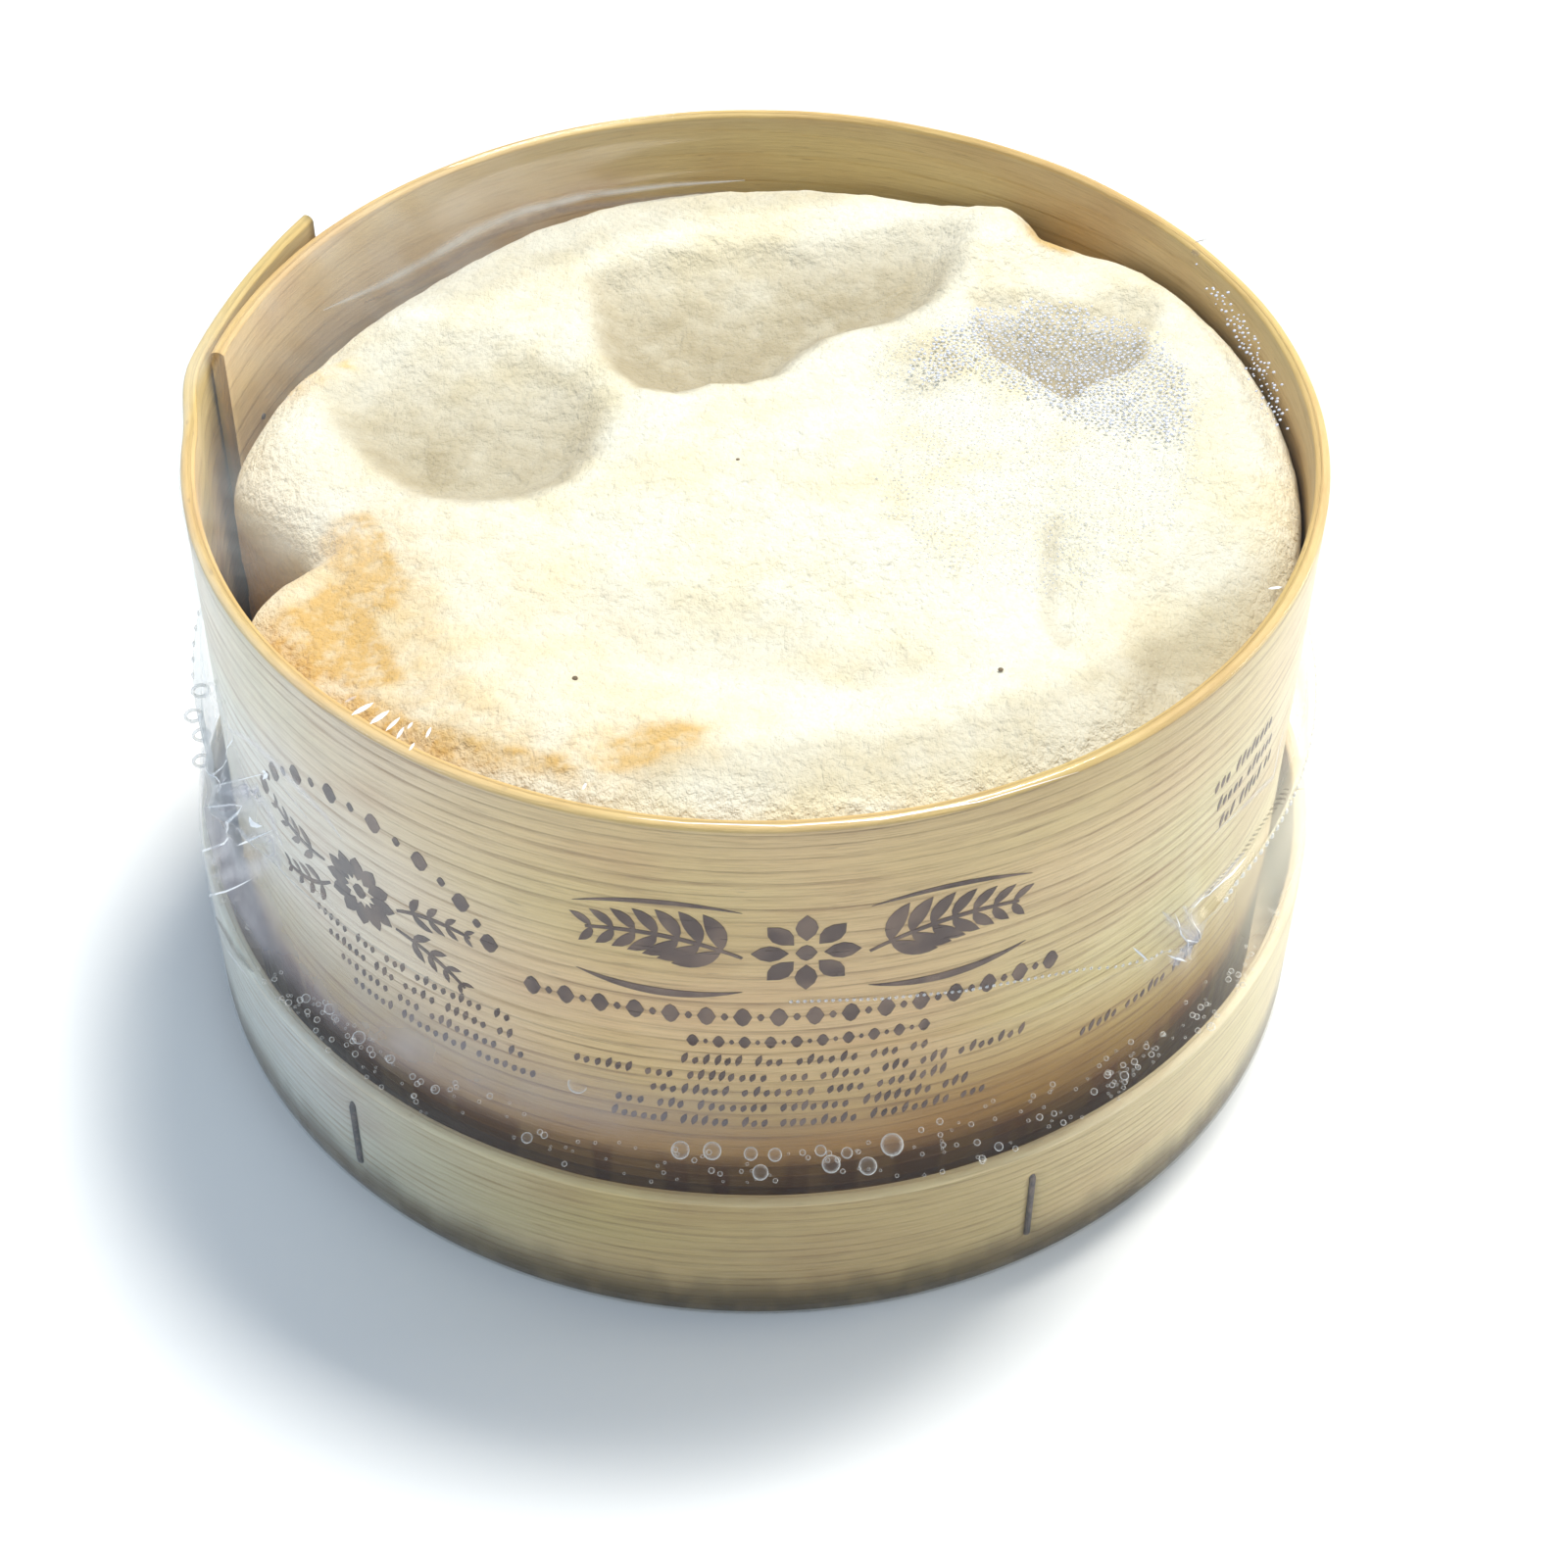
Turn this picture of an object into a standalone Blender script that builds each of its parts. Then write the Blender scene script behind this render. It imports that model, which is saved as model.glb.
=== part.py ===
"""Soft washed-rind cheese in its round spruce box, standing in the upturned lid, all wrapped in clear film.

Metres, +Z up. The origin is the middle of the underside, and the side with the print faces -Y.
"""
import math

import bmesh
import bpy

MM = 0.001

# Driving dimensions.
BOX_RADIUS = 58.9 * MM
RIM_TOP = 68.6 * MM
LID_RADIUS = 63.2 * MM
LID_TOP = 19.0 * MM
VENEER = 1.5 * MM
BOARD = 2.4 * MM
FILM = 0.3 * MM
GAP = 0.3 * MM
CHEESE_RADIUS = 57.0 * MM
CHEESE_TOP = 64.5 * MM
WIRE = 0.7 * MM

# Heights of the stack, from the underside up.
LID_FOOT = FILM + GAP
BOX_FOOT = LID_FOOT + BOARD + GAP
CHEESE_FOOT = BOX_FOOT + BOARD + GAP

# Laps of the two hoops, in degrees: where the inner end starts, how far it laps, and how it climbs.
PLY_STEP = VENEER + 0.35 * MM
BOX_LAP_START = 170.0
BOX_LAP_TURN = 25.0
BOX_FLARE = 2.0 * MM
FLARE_START = 30.0 * MM
LID_LAP_START = 95.0
LID_LAP_TURN = 30.0
CLIMB_TURN = 13.0
STRIP_STEP = 4.8
BOARD_SIDES = 64
CHEESE_STEPS = 64
FILM_COLUMNS = 56

# Staples: the wire's middle lies this far under the face, and the groove leaves a gap round it.
STAPLE_SPAN = 10.0 * MM
STAPLE_SINK = 0.3 * MM
LEG = 2.4 * MM
LAP_LEG = 3.5 * MM
STAPLE_MIDDLE = 9.6 * MM
LID_STAPLES = (
    (228.8, STAPLE_MIDDLE, LEG),
    (297.9, STAPLE_MIDDLE, LEG),
    (88.0, STAPLE_MIDDLE, LAP_LEG),
    (72.0, STAPLE_MIDDLE, LAP_LEG),
)
BOX_STAPLES = ((163.0, 50.0 * MM, LAP_LEG), (153.0, 27.0 * MM, LAP_LEG))

# Film: the eye in the underside, the weld seam, the slope from the lid to the wall, and the folded corners.
EYE_RADIUS = 5.0 * MM
SEAM_HEIGHT = 39.5 * MM
SEAM_SWING = 2.0 * MM
SEAM_HALF = 1.2 * MM
SEAM_PROUD = 0.9 * MM
FRONT_CONTACT = 30.0 * MM
SIDE_CONTACT = 54.0 * MM
SHEET_SAG = 4.6 * MM
SAG_REACH = 14.0 * MM
CORNERS = ((208.0, 2.3 * MM), (316.0, 2.0 * MM), (28.0, 1.6 * MM), (136.0, 1.6 * MM))
CORNER_TURN = 5.0
CORNER_HALF = 5.0 * MM
TAUT_PROBES = [(0.0, 0.0)] + [
    (3.0 * MM * math.cos(math.radians(turn)), 3.0 * MM * math.sin(math.radians(turn)))
    for turn in range(0, 360, 45)
]
DRAPE_REACH = 20
DRAPE_HELD = 8

WOOD = ((0.72, 0.55, 0.30, 1.0), 0.65, 0.0)
WOOD_LID = ((0.66, 0.52, 0.31, 1.0), 0.65, 0.0)
RIND = ((0.88, 0.80, 0.62, 1.0), 0.85, 0.0)
CLEAR = ((0.90, 0.92, 0.92, 0.25), 0.12, 0.0)
STEEL = ((0.16, 0.15, 0.16, 1.0), 0.4, 1.0)


def clear_scene():
    """Take every object out of the scene."""
    for old in list(bpy.data.objects):
        bpy.data.objects.remove(old, do_unlink=True)


def new_collection(name):
    """Add a collection to the scene."""
    made = bpy.data.collections.new(name)
    bpy.context.scene.collection.children.link(made)
    return made


def finish_of(name, look):
    """A Principled material from colour, roughness and metallic."""
    colour, roughness, metallic = look
    material = bpy.data.materials.new(name)
    material.use_nodes = True
    shader = material.node_tree.nodes["Principled BSDF"]
    shader.inputs["Base Color"].default_value = colour
    shader.inputs["Alpha"].default_value = colour[3]
    shader.inputs["Roughness"].default_value = roughness
    shader.inputs["Metallic"].default_value = metallic
    return material


def add_object(name, mesh, collection, look=None):
    """Put a mesh in the collection as an object with its own finish."""
    made = bpy.data.objects.new(name, mesh)
    collection.objects.link(made)
    if look:
        mesh.materials.append(finish_of(name, look))
    return made


def bell(offset, half):
    """A smooth bump of height 1 that has mostly gone at the given half width."""
    return math.exp(-((offset / half) ** 2))


def ease(value):
    """Smooth step from 0 to 1."""
    held = min(max(value, 0.0), 1.0)
    return held * held * (3.0 - 2.0 * held)


def turn_between(angle, centre):
    """Signed degrees from centre to angle, within half a turn."""
    return (angle - centre + 180.0) % 360.0 - 180.0


def disc(name, radius, foot, thickness, sides, collection, look):
    """A flat round board."""
    shape = bmesh.new()
    bmesh.ops.create_cone(
        shape, cap_ends=True, segments=sides, radius1=radius, radius2=radius, depth=thickness
    )
    bmesh.ops.translate(shape, verts=shape.verts, vec=(0.0, 0.0, foot + thickness / 2))
    mesh = bpy.data.meshes.new(name)
    shape.to_mesh(mesh)
    shape.free()
    return add_object(name, mesh, collection, look)


def box_lap_radius(turned, height):
    """Middle radius of the box's strip after it has turned this many degrees from its inner end."""
    radius = BOX_RADIUS - VENEER / 2
    climb = ease((turned - (360.0 - CLIMB_TURN - 1.0)) / CLIMB_TURN)
    lifted = ease((height - FLARE_START) / (RIM_TOP - FLARE_START))
    flare = max(0.0, (turned - 360.0) / BOX_LAP_TURN) ** 2
    return radius + PLY_STEP * climb + BOX_FLARE * lifted * flare


def lid_lap_radius(turned, height):
    """Middle radius of the lid's strip: its inner end lies against the inside."""
    radius = LID_RADIUS - VENEER / 2
    climb = ease((turned - LID_LAP_TURN) / CLIMB_TURN)
    return radius - PLY_STEP * (1.0 - climb)


def box_strip_foot(turned):
    """Lower edge of the box's strip, which stands on the lid's board all the way."""
    return BOX_FOOT


def lid_strip_foot(turned):
    """Lower edge of the lid's strip: its inner end is cut away to stand on the board."""
    return BOX_FOOT if turned < LID_LAP_TURN + CLIMB_TURN + STRIP_STEP else LID_FOOT


def hoop(name, radius_at, foot_at, start, turn, heights, collection, look):
    """A veneer strip bent round on itself, its ends lapped: an open strip with thickness."""
    columns = round(turn / STRIP_STEP)
    shape = bmesh.new()
    rows = [[] for _ in range(len(heights) + 1)]
    for column in range(columns + 1):
        turned = turn * column / columns
        angle = math.radians(start - turned)
        for row, height in zip(rows, (foot_at(turned), *heights)):
            radius = radius_at(turned, height)
            row.append(shape.verts.new((radius * math.cos(angle), radius * math.sin(angle), height)))
    for low, high in zip(rows, rows[1:]):
        for column in range(columns):
            shape.faces.new((low[column + 1], low[column], high[column], high[column + 1]))
    mesh = bpy.data.meshes.new(name)
    shape.to_mesh(mesh)
    shape.free()
    made = add_object(name, mesh, collection, look)
    thick = made.modifiers.new("veneer", "SOLIDIFY")
    thick.thickness = VENEER
    thick.offset = 0.0
    thick.use_even_offset = True
    return made


def staple_curve(name, angle, middle, face_radius, leg, wire):
    """A staple pressed into a hoop: an upright crown with a leg at each end, pointing at the middle."""
    half = STAPLE_SPAN / 2
    bend = 0.6 * MM
    outer = face_radius - STAPLE_SINK
    route = (
        (outer - leg, half),
        (outer - bend, half),
        (outer - bend * 0.3, half - bend * 0.3),
        (outer, half - bend),
        (outer, -half + bend),
        (outer - bend * 0.3, -half + bend * 0.3),
        (outer - bend, -half),
        (outer - leg, -half),
    )
    curve = bpy.data.curves.new(name, "CURVE")
    curve.dimensions = "3D"
    curve.bevel_depth = wire / 2
    curve.bevel_resolution = 1
    curve.use_fill_caps = True
    spline = curve.splines.new("POLY")
    spline.points.add(len(route) - 1)
    turn = math.radians(angle)
    for point, (radius, rise) in zip(spline.points, route):
        point.co = (radius * math.cos(turn), radius * math.sin(turn), middle + rise, 1.0)
    return curve


def curve_to_mesh_object(name, curve, collection, look):
    """Turn a curve with filled caps into a mesh object whose caps are joined on."""
    guide = bpy.data.objects.new(name + "_guide", curve)
    bpy.context.scene.collection.objects.link(guide)
    bpy.context.view_layer.update()
    graph = bpy.context.evaluated_depsgraph_get()
    mesh = bpy.data.meshes.new_from_object(guide.evaluated_get(graph))
    bpy.data.objects.remove(guide, do_unlink=True)
    shape = bmesh.new()
    shape.from_mesh(mesh)
    bmesh.ops.remove_doubles(shape, verts=shape.verts, dist=0.00001)
    bmesh.ops.recalc_face_normals(shape, faces=shape.faces)
    shape.to_mesh(mesh)
    shape.free()
    mesh.name = name
    mesh.materials.clear()
    return add_object(name, mesh, collection, look)


def fit_staples(hoop_object, prefix, places, face_radius_at, parts, cutters):
    """Staples in a hoop, each with the groove and holes that it sits in, cut with a gap round the wire."""
    for number, (angle, middle, leg) in enumerate(places, 1):
        face = face_radius_at(angle, middle)
        name = f"{prefix}_staple_{number}"
        curve_to_mesh_object(name, staple_curve(name, angle, middle, face, leg, WIRE), parts, STEEL)
        cut_name = name + "_groove"
        groove = staple_curve(cut_name, angle, middle, face, leg + GAP, WIRE + 2 * GAP)
        cutter = curve_to_mesh_object(cut_name, groove, cutters, None)
        cutter.hide_render = True
        cutter.display_type = "WIRE"
        cut = hoop_object.modifiers.new(cut_name, "BOOLEAN")
        cut.operation = "DIFFERENCE"
        cut.solver = "EXACT"
        cut.object = cutter


def box_face_radius(angle, height):
    """Radius of the box's outermost face at an angle, over the lap too."""
    turned = 360.0 + turn_between(BOX_LAP_START, angle)
    if turned <= 360.0 + BOX_LAP_TURN and turned >= 360.0 - CLIMB_TURN - 1.0:
        return box_lap_radius(turned, height) + VENEER / 2
    return BOX_RADIUS


def lid_face_radius(angle, height):
    """Radius of the lid's outer face."""
    return LID_RADIUS


def mound(x, y, centre, half_long, half_wide, turn, height, square=2.0):
    """A smooth mound, or a hollow where the height is negative. Millimetres and degrees.

    A larger square makes it flatter in the middle and crisper at its edge.
    """
    away_x = x - centre[0]
    away_y = y - centre[1]
    side = math.radians(turn)
    along = (away_x * math.cos(side) + away_y * math.sin(side)) / half_long
    across = (away_y * math.cos(side) - away_x * math.sin(side)) / half_wide
    return height * math.exp(-(math.hypot(along, across) ** square))


def fold(x, y, centre, turn, half_long, gentle, steep, depth):
    """A crease that falls away gently on its left and steeply on its right. Millimetres and degrees."""
    side = math.radians(turn)
    along = (x - centre[0]) * math.cos(side) + (y - centre[1]) * math.sin(side)
    across = (y - centre[1]) * math.cos(side) - (x - centre[0]) * math.sin(side)
    width = gentle if across > 0.0 else steep
    return -depth * math.exp(-((along / half_long) ** 4) - (across / width) ** 2)


def relief(x, y):
    """Height of the folded rind above the even top, in millimetres, at a place in millimetres."""
    height = mound(x, y, (12.0, -6.0), 27.0, 19.0, 0.0, 1.6)
    height += mound(x, y, (-31.0, 4.0), 16.5, 10.5, -16.0, -3.6, 4.0)
    height += mound(x, y, (-40.0, 12.0), 8.0, 6.0, 0.0, -1.2)
    height += mound(x, y, (0.0, 25.0), 21.0, 12.5, 17.0, -3.4, 4.0)
    height += fold(x, y, (4.0, 15.0), 24.0, 20.0, 13.0, 3.0, 2.4)
    height += mound(x, y, (33.0, 20.0), 11.5, 8.5, 8.0, -4.0, 3.5)
    height += mound(x, y, (34.0, 9.0), 5.0, 3.5, 60.0, -1.6)
    height += mound(x, y, (25.0, 35.0), 14.0, 4.0, 62.0, 1.8)
    height += mound(x, y, (49.0, 6.0), 24.0, 6.0, 96.0, 1.4)
    height += mound(x, y, (45.0, -27.0), 15.0, 7.0, 52.0, -3.2)
    height += fold(x, y, (29.0, -23.0), -82.0, 11.0, 3.0, 6.0, 1.3)
    height += fold(x, y, (14.0, -36.0), 20.0, 12.0, 6.0, 3.0, 1.2)
    height += mound(x, y, (-2.0, -29.0), 17.0, 7.0, 8.0, -1.3)
    height += mound(x, y, (-41.0, -25.0), 15.0, 6.0, 118.0, -1.4)
    height += mound(x, y, (15.0, 9.0), 4.0, 4.0, 0.0, -1.0)
    height += mound(x, y, (44.0, 27.0), 4.0, 3.0, 60.0, -1.2)
    height += mound(x, y, (-47.0, 13.0), 5.0, 3.0, 20.0, 1.0)
    height += mound(x, y, (33.0, 38.0), 3.0, 2.5, 0.0, 1.0)
    height += mound(x, y, (-10.0, 42.0), 26.0, 7.0, 4.0, 1.0)
    return height


def front_share(angle):
    """1 towards -Y, where the cheese fills the box up to its rim, and 0 at the back."""
    return ease((60.0 - abs(turn_between(angle, 272.0))) / 30.0)


def cheese_edge(angle):
    """Radius of the cheese: full in front, drawn in at the back left, with a notch on either side."""
    radius = CHEESE_RADIUS
    radius -= 3.6 * MM * bell(turn_between(angle, 140.0), 30.0)
    radius -= 8.5 * MM * bell(turn_between(angle, 200.0), 8.0)
    radius -= 3.8 * MM * bell(turn_between(angle, 49.0), 5.5)
    radius -= 1.3 * MM * bell(turn_between(angle, 95.0), 22.0)
    radius -= 1.2 * MM * bell(turn_between(angle, 0.0), 20.0)
    return radius


def cheese_top(x, y):
    """Height of the cheese at a place, in metres: the folded top, rounded off at its edge."""
    radius = math.hypot(x, y)
    angle = math.degrees(math.atan2(y, x))
    front = front_share(angle)
    lift = front * 2.4 * MM * bell(radius - 47.0 * MM, 12.0 * MM)
    width = (11.0 - 4.0 * front) * MM
    drop = (12.5 - 6.5 * front) * MM
    past = min(max((radius - cheese_edge(angle) + width) / width, 0.0), 1.0)
    rounded = drop * (1.0 - math.sqrt(1.0 - past * past))
    return CHEESE_TOP + relief(x / MM, y / MM) * MM + lift - rounded


def turned_mesh(name, profile, steps):
    """A profile in the XZ plane, turned about Z by a Screw modifier and made a mesh."""
    mesh = bpy.data.meshes.new(name + "_profile")
    points = [(radius, 0.0, height) for radius, height in profile]
    mesh.from_pydata(points, [(i, i + 1) for i in range(len(points) - 1)], [])
    guide = bpy.data.objects.new(name + "_guide", mesh)
    bpy.context.scene.collection.objects.link(guide)
    screw = guide.modifiers.new("turn", "SCREW")
    screw.steps = steps
    screw.render_steps = steps
    screw.use_merge_vertices = True
    screw.merge_threshold = 0.00005
    bpy.context.view_layer.update()
    graph = bpy.context.evaluated_depsgraph_get()
    turned = bpy.data.meshes.new_from_object(guide.evaluated_get(graph))
    bpy.data.objects.remove(guide, do_unlink=True)
    turned.name = name
    return turned


def cheese_profile():
    """Share of the radius and of the height, down the outside: the top's rings, the side and the foot."""
    rings = [0.0] + [0.075 * k for k in range(1, 11)] + [0.80, 0.85, 0.90, 0.94, 0.975, 1.0]
    top = [(share, 1.0) for share in rings]
    side = [(1.0, 0.6), (1.0, 0.12), (0.985, 0.03), (0.955, 0.0), (0.5, 0.0), (0.0, 0.0)]
    return top + side


def build_cheese(parts):
    """The cheese: a turned cake whose rind is folded where it was pressed into a box too small for it."""
    mesh = turned_mesh("cheese", cheese_profile(), CHEESE_STEPS)
    for vertex in mesh.vertices:
        share = math.hypot(vertex.co.x, vertex.co.y)
        angle = math.degrees(math.atan2(vertex.co.y, vertex.co.x))
        edge = cheese_edge(angle)
        radius = share * edge
        x = radius * math.cos(math.radians(angle))
        y = radius * math.sin(math.radians(angle))
        if vertex.co.z > 0.999:
            z = cheese_top(x, y)
        else:
            rim = cheese_top(edge * math.cos(math.radians(angle)), edge * math.sin(math.radians(angle)))
            z = CHEESE_FOOT + (rim - CHEESE_FOOT) * vertex.co.z
        vertex.co = (x, y, z)
    mesh.shade_smooth()
    return add_object("cheese", mesh, parts, RIND)


def seam_height(angle):
    """Height of the film's weld seam round the side."""
    return SEAM_HEIGHT - SEAM_SWING * math.cos(math.radians(angle - 316.0))


def film_side_radius(angle, height):
    """Radius inside the film: tight on the wall above, sloping out to the lid's edge below."""
    front = abs(turn_between(angle, 270.0)) / 90.0
    contact = FRONT_CONTACT + (SIDE_CONTACT - FRONT_CONTACT) * ease(front)
    lid_edge = LID_TOP + 2 * GAP
    down = min(max((contact - height) / (contact - lid_edge), 0.0), 1.0)
    wall = BOX_RADIUS + GAP
    lap = 0.0
    for off in range(-DRAPE_REACH, DRAPE_REACH + 1, 2):
        held = min(1.0, (DRAPE_REACH - abs(off)) / (DRAPE_REACH - DRAPE_HELD))
        lap = max(lap, (box_face_radius(angle + off, height) - BOX_RADIUS) * held)
    slope = (LID_RADIUS + GAP - wall) * down ** 1.25
    folded = 0.0
    for corner, proud in CORNERS:
        off = turn_between(angle, corner)
        pleat = 0.75 + 0.25 * math.cos(math.radians(off * 60.0))
        folded += proud * pleat * bell(off, CORNER_TURN) * bell(height - seam_height(angle), CORNER_HALF)
    return wall + max(lap, slope) + folded


def rind_height(x, y):
    """Height of the cheese under a place, or of its nearest edge."""
    radius = math.hypot(x, y)
    edge = cheese_edge(math.degrees(math.atan2(y, x)))
    inward = min(1.0, edge / radius) if radius > 0.0 else 1.0
    return cheese_top(x * inward, y * inward)


def film_top_height(x, y):
    """Height inside the film over the box: drawn tight from the rim and resting on the cheese."""
    radius = math.hypot(x, y)
    sheet = RIM_TOP + GAP - SHEET_SAG * ease((BOX_RADIUS - VENEER - radius) / SAG_REACH)
    over = max(rind_height(x + dx, y + dy) for dx, dy in TAUT_PROBES) + GAP
    blend = 0.6 * MM
    return max(sheet, over) + blend * math.exp(-abs(sheet - over) / blend) * 0.5


def film_rows():
    """The film's rows from the eye up: (kind, value), the value being a radius, a height or a share."""
    lid_face = LID_RADIUS + GAP
    under = [("under", radius) for radius in (EYE_RADIUS, 30.0 * MM, lid_face - GAP)]
    lid = [("lid", height) for height in (FILM + GAP, LID_TOP)]
    side = [("side", LID_TOP + 2 * GAP + rise) for rise in (0.0, 5.0 * MM, 11.0 * MM)]
    seam = [("seam", rise) for rise in (-SEAM_HALF, 0.0, SEAM_HALF)]
    wall = [("side", height) for height in (47.0 * MM, 55.0 * MM, 63.0 * MM, RIM_TOP - 0.4 * MM)]
    rim = [("rim", share) for share in (0.0, 1.0)]
    shares = (0.945, 0.885, 0.81, 0.72, 0.62, 0.51, 0.40, 0.28, 0.14)
    return under + lid + side + seam + wall + rim + [("top", share) for share in shares]


def film_point(kind, value, angle):
    """One point inside the film at an angle in degrees."""
    turn = math.radians(angle)
    lid_face = LID_RADIUS + GAP
    if kind == "under":
        radius, height = value, FILM
    elif kind == "lid":
        radius, height = lid_face, value
    elif kind == "side":
        radius, height = film_side_radius(angle, value), value
    elif kind == "seam":
        height = seam_height(angle) + value
        radius = film_side_radius(angle, height) + (SEAM_PROUD if value == 0.0 else 0.0)
    elif kind == "rim":
        outer = film_side_radius(angle, RIM_TOP) - GAP / 2
        inner = BOX_RADIUS - VENEER
        radius = outer + (inner - outer) * value
        height = RIM_TOP + GAP + 0.1 * MM
    else:
        radius = (BOX_RADIUS - VENEER) * value
        height = film_top_height(radius * math.cos(turn), radius * math.sin(turn))
    return (radius * math.cos(turn), radius * math.sin(turn), height)


def build_film(parts):
    """The shrunk film: one open surface from the eye underneath to the top, with thickness."""
    columns = FILM_COLUMNS
    shape = bmesh.new()
    rows = []
    for kind, value in film_rows():
        angles = [360.0 * column / columns for column in range(columns)]
        rows.append([shape.verts.new(film_point(kind, value, angle)) for angle in angles])
    for low, high in zip(rows, rows[1:]):
        for column in range(columns):
            after = (column + 1) % columns
            shape.faces.new((low[column], low[after], high[after], high[column]))
    crown = shape.verts.new((0.0, 0.0, film_top_height(0.0, 0.0)))
    for column in range(columns):
        shape.faces.new((rows[-1][column], rows[-1][(column + 1) % columns], crown))
    mesh = bpy.data.meshes.new("film")
    shape.to_mesh(mesh)
    shape.free()
    mesh.shade_smooth()
    made = add_object("film", mesh, parts, CLEAR)
    thick = made.modifiers.new("film", "SOLIDIFY")
    thick.thickness = FILM
    thick.offset = 1.0
    return made


def build_lid(parts, cutters):
    """The upturned lid under the box: its board and its lapped hoop with staples."""
    disc("lid_board", LID_RADIUS - VENEER - GAP, LID_FOOT, BOARD, BOARD_SIDES, parts, WOOD_LID)
    strip = hoop(
        "lid_hoop",
        lid_lap_radius,
        lid_strip_foot,
        LID_LAP_START,
        360.0 + LID_LAP_TURN,
        (LID_TOP,),
        parts,
        WOOD_LID,
    )
    fit_staples(strip, "lid", LID_STAPLES, lid_face_radius, parts, cutters)


def build_box(parts, cutters):
    """The open box: its board and its tall lapped hoop, whose outer end has sprung away at the rim."""
    disc("box_floor", BOX_RADIUS - VENEER - 0.4 * MM, BOX_FOOT, BOARD, BOARD_SIDES, parts, WOOD)
    strip = hoop(
        "box_hoop",
        box_lap_radius,
        box_strip_foot,
        BOX_LAP_START,
        360.0 + BOX_LAP_TURN,
        (FLARE_START, 50.0 * MM, RIM_TOP),
        parts,
        WOOD,
    )
    fit_staples(strip, "box", BOX_STAPLES, box_face_radius, parts, cutters)


def main():
    """Build the wrapped cheese."""
    clear_scene()
    parts = new_collection("boxed_soft_cheese")
    cutters = new_collection("cutters")
    build_lid(parts, cutters)
    build_box(parts, cutters)
    build_cheese(parts)
    build_film(parts)


main()
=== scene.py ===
"""The looks of a soft cheese in its round spruce box, standing in the upturned lid and wrapped in clear film.

Metres, +Z up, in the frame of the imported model. Angles are in degrees, anticlockwise from +X seen from
above, so that the printed front lies at about 270.
"""

import logging
import math
import random
from dataclasses import dataclass, field
from enum import Enum
from typing import Callable, Iterable, Mapping, Sequence, Union

import bpy
import numpy as np
from mathutils import Matrix, Vector, noise


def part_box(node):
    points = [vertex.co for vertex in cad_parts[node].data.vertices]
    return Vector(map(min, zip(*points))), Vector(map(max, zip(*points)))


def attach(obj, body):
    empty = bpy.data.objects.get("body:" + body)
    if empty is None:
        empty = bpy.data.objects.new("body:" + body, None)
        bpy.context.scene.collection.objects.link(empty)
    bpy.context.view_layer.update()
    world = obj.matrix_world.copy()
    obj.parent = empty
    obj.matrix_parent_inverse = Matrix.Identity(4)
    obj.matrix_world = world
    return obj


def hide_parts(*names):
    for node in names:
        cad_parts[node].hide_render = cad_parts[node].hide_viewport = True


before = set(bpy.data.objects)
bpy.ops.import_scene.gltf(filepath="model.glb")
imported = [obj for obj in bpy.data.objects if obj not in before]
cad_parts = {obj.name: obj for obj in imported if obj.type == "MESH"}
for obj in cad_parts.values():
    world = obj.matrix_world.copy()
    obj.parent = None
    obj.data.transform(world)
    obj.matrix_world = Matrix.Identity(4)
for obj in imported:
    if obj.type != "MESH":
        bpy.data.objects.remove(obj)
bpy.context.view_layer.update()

LOG = logging.getLogger("wrapped_cheese")
MM = 0.001
Array = np.ndarray
Piece = bpy.types.Object
Material = bpy.types.Material
Colour = tuple[float, float, float]
Place = tuple[float, float]
Spots = tuple[Place, ...]


# Small laws of shape, on single numbers or on arrays.


def bell(offset: Array, half: float) -> Array:
    """A smooth bump of height 1 that has mostly gone at the given half width.

    Args:
        offset: Distance from the middle.
        half: Half width, in the same unit.

    Returns:
        The height of the bump at each offset.
    """
    return np.exp(-((offset / half) ** 2))


def ease(value: Array) -> Array:
    """Smooth step from 0 to 1.

    Args:
        value: Where along the step, below 0 and above 1 held.

    Returns:
        The eased value.
    """
    held = np.clip(value, 0.0, 1.0)
    return held * held * (3.0 - 2.0 * held)


def turn_between(angle: Array, centre: float) -> Array:
    """Signed degrees from one angle to another, within half a turn.

    Args:
        angle: Angles in degrees.
        centre: The angle to measure from.

    Returns:
        Degrees from -180 to 180.
    """
    return (np.asarray(angle) - centre + 180.0) % 360.0 - 180.0


def around(angle: Array, radius: Array, height: Array) -> Array:
    """Points round the upright axis.

    Args:
        angle: Angles in degrees.
        radius: Distances from the axis.
        height: Heights.

    Returns:
        An array of points, with the three coordinates last.
    """
    turn = np.radians(angle)
    parts = np.broadcast_arrays(radius * np.cos(turn), radius * np.sin(turn), height)
    return np.stack(parts, axis=-1)


def crumple(points: Array, grain: float, octaves: int, seed: float = 0.0) -> Array:
    """Fractal noise at points, from about -1 to 1.

    Args:
        points: Points with the three coordinates last.
        grain: Size of the largest lumps, in metres.
        octaves: How many finer layers are added.
        seed: Shifts the noise so that two uses differ.

    Returns:
        One value for each point.
    """
    flat = points.reshape(-1, 3) / grain + seed
    found = [noise.fractal(Vector(point), 0.9, 2.1, octaves) for point in flat.tolist()]
    return np.array(found).reshape(points.shape[:-1])


def spaced(coarse: float, fine: float, zones: Sequence[Place]) -> Array:
    """Angles round the whole turn, closer together inside some zones.

    Args:
        coarse: Usual step in degrees.
        fine: Step inside the zones.
        zones: First and last angle of each zone.

    Returns:
        The angles, from 0 to under 360.
    """
    angles = [0.0]
    while angles[-1] < 360.0 - fine:
        here = angles[-1]
        close = any(low - coarse < here < high for low, high in zones)
        angles.append(here + (fine if close else coarse))
    return np.array([angle for angle in angles if angle < 360.0 - fine / 2])


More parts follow.
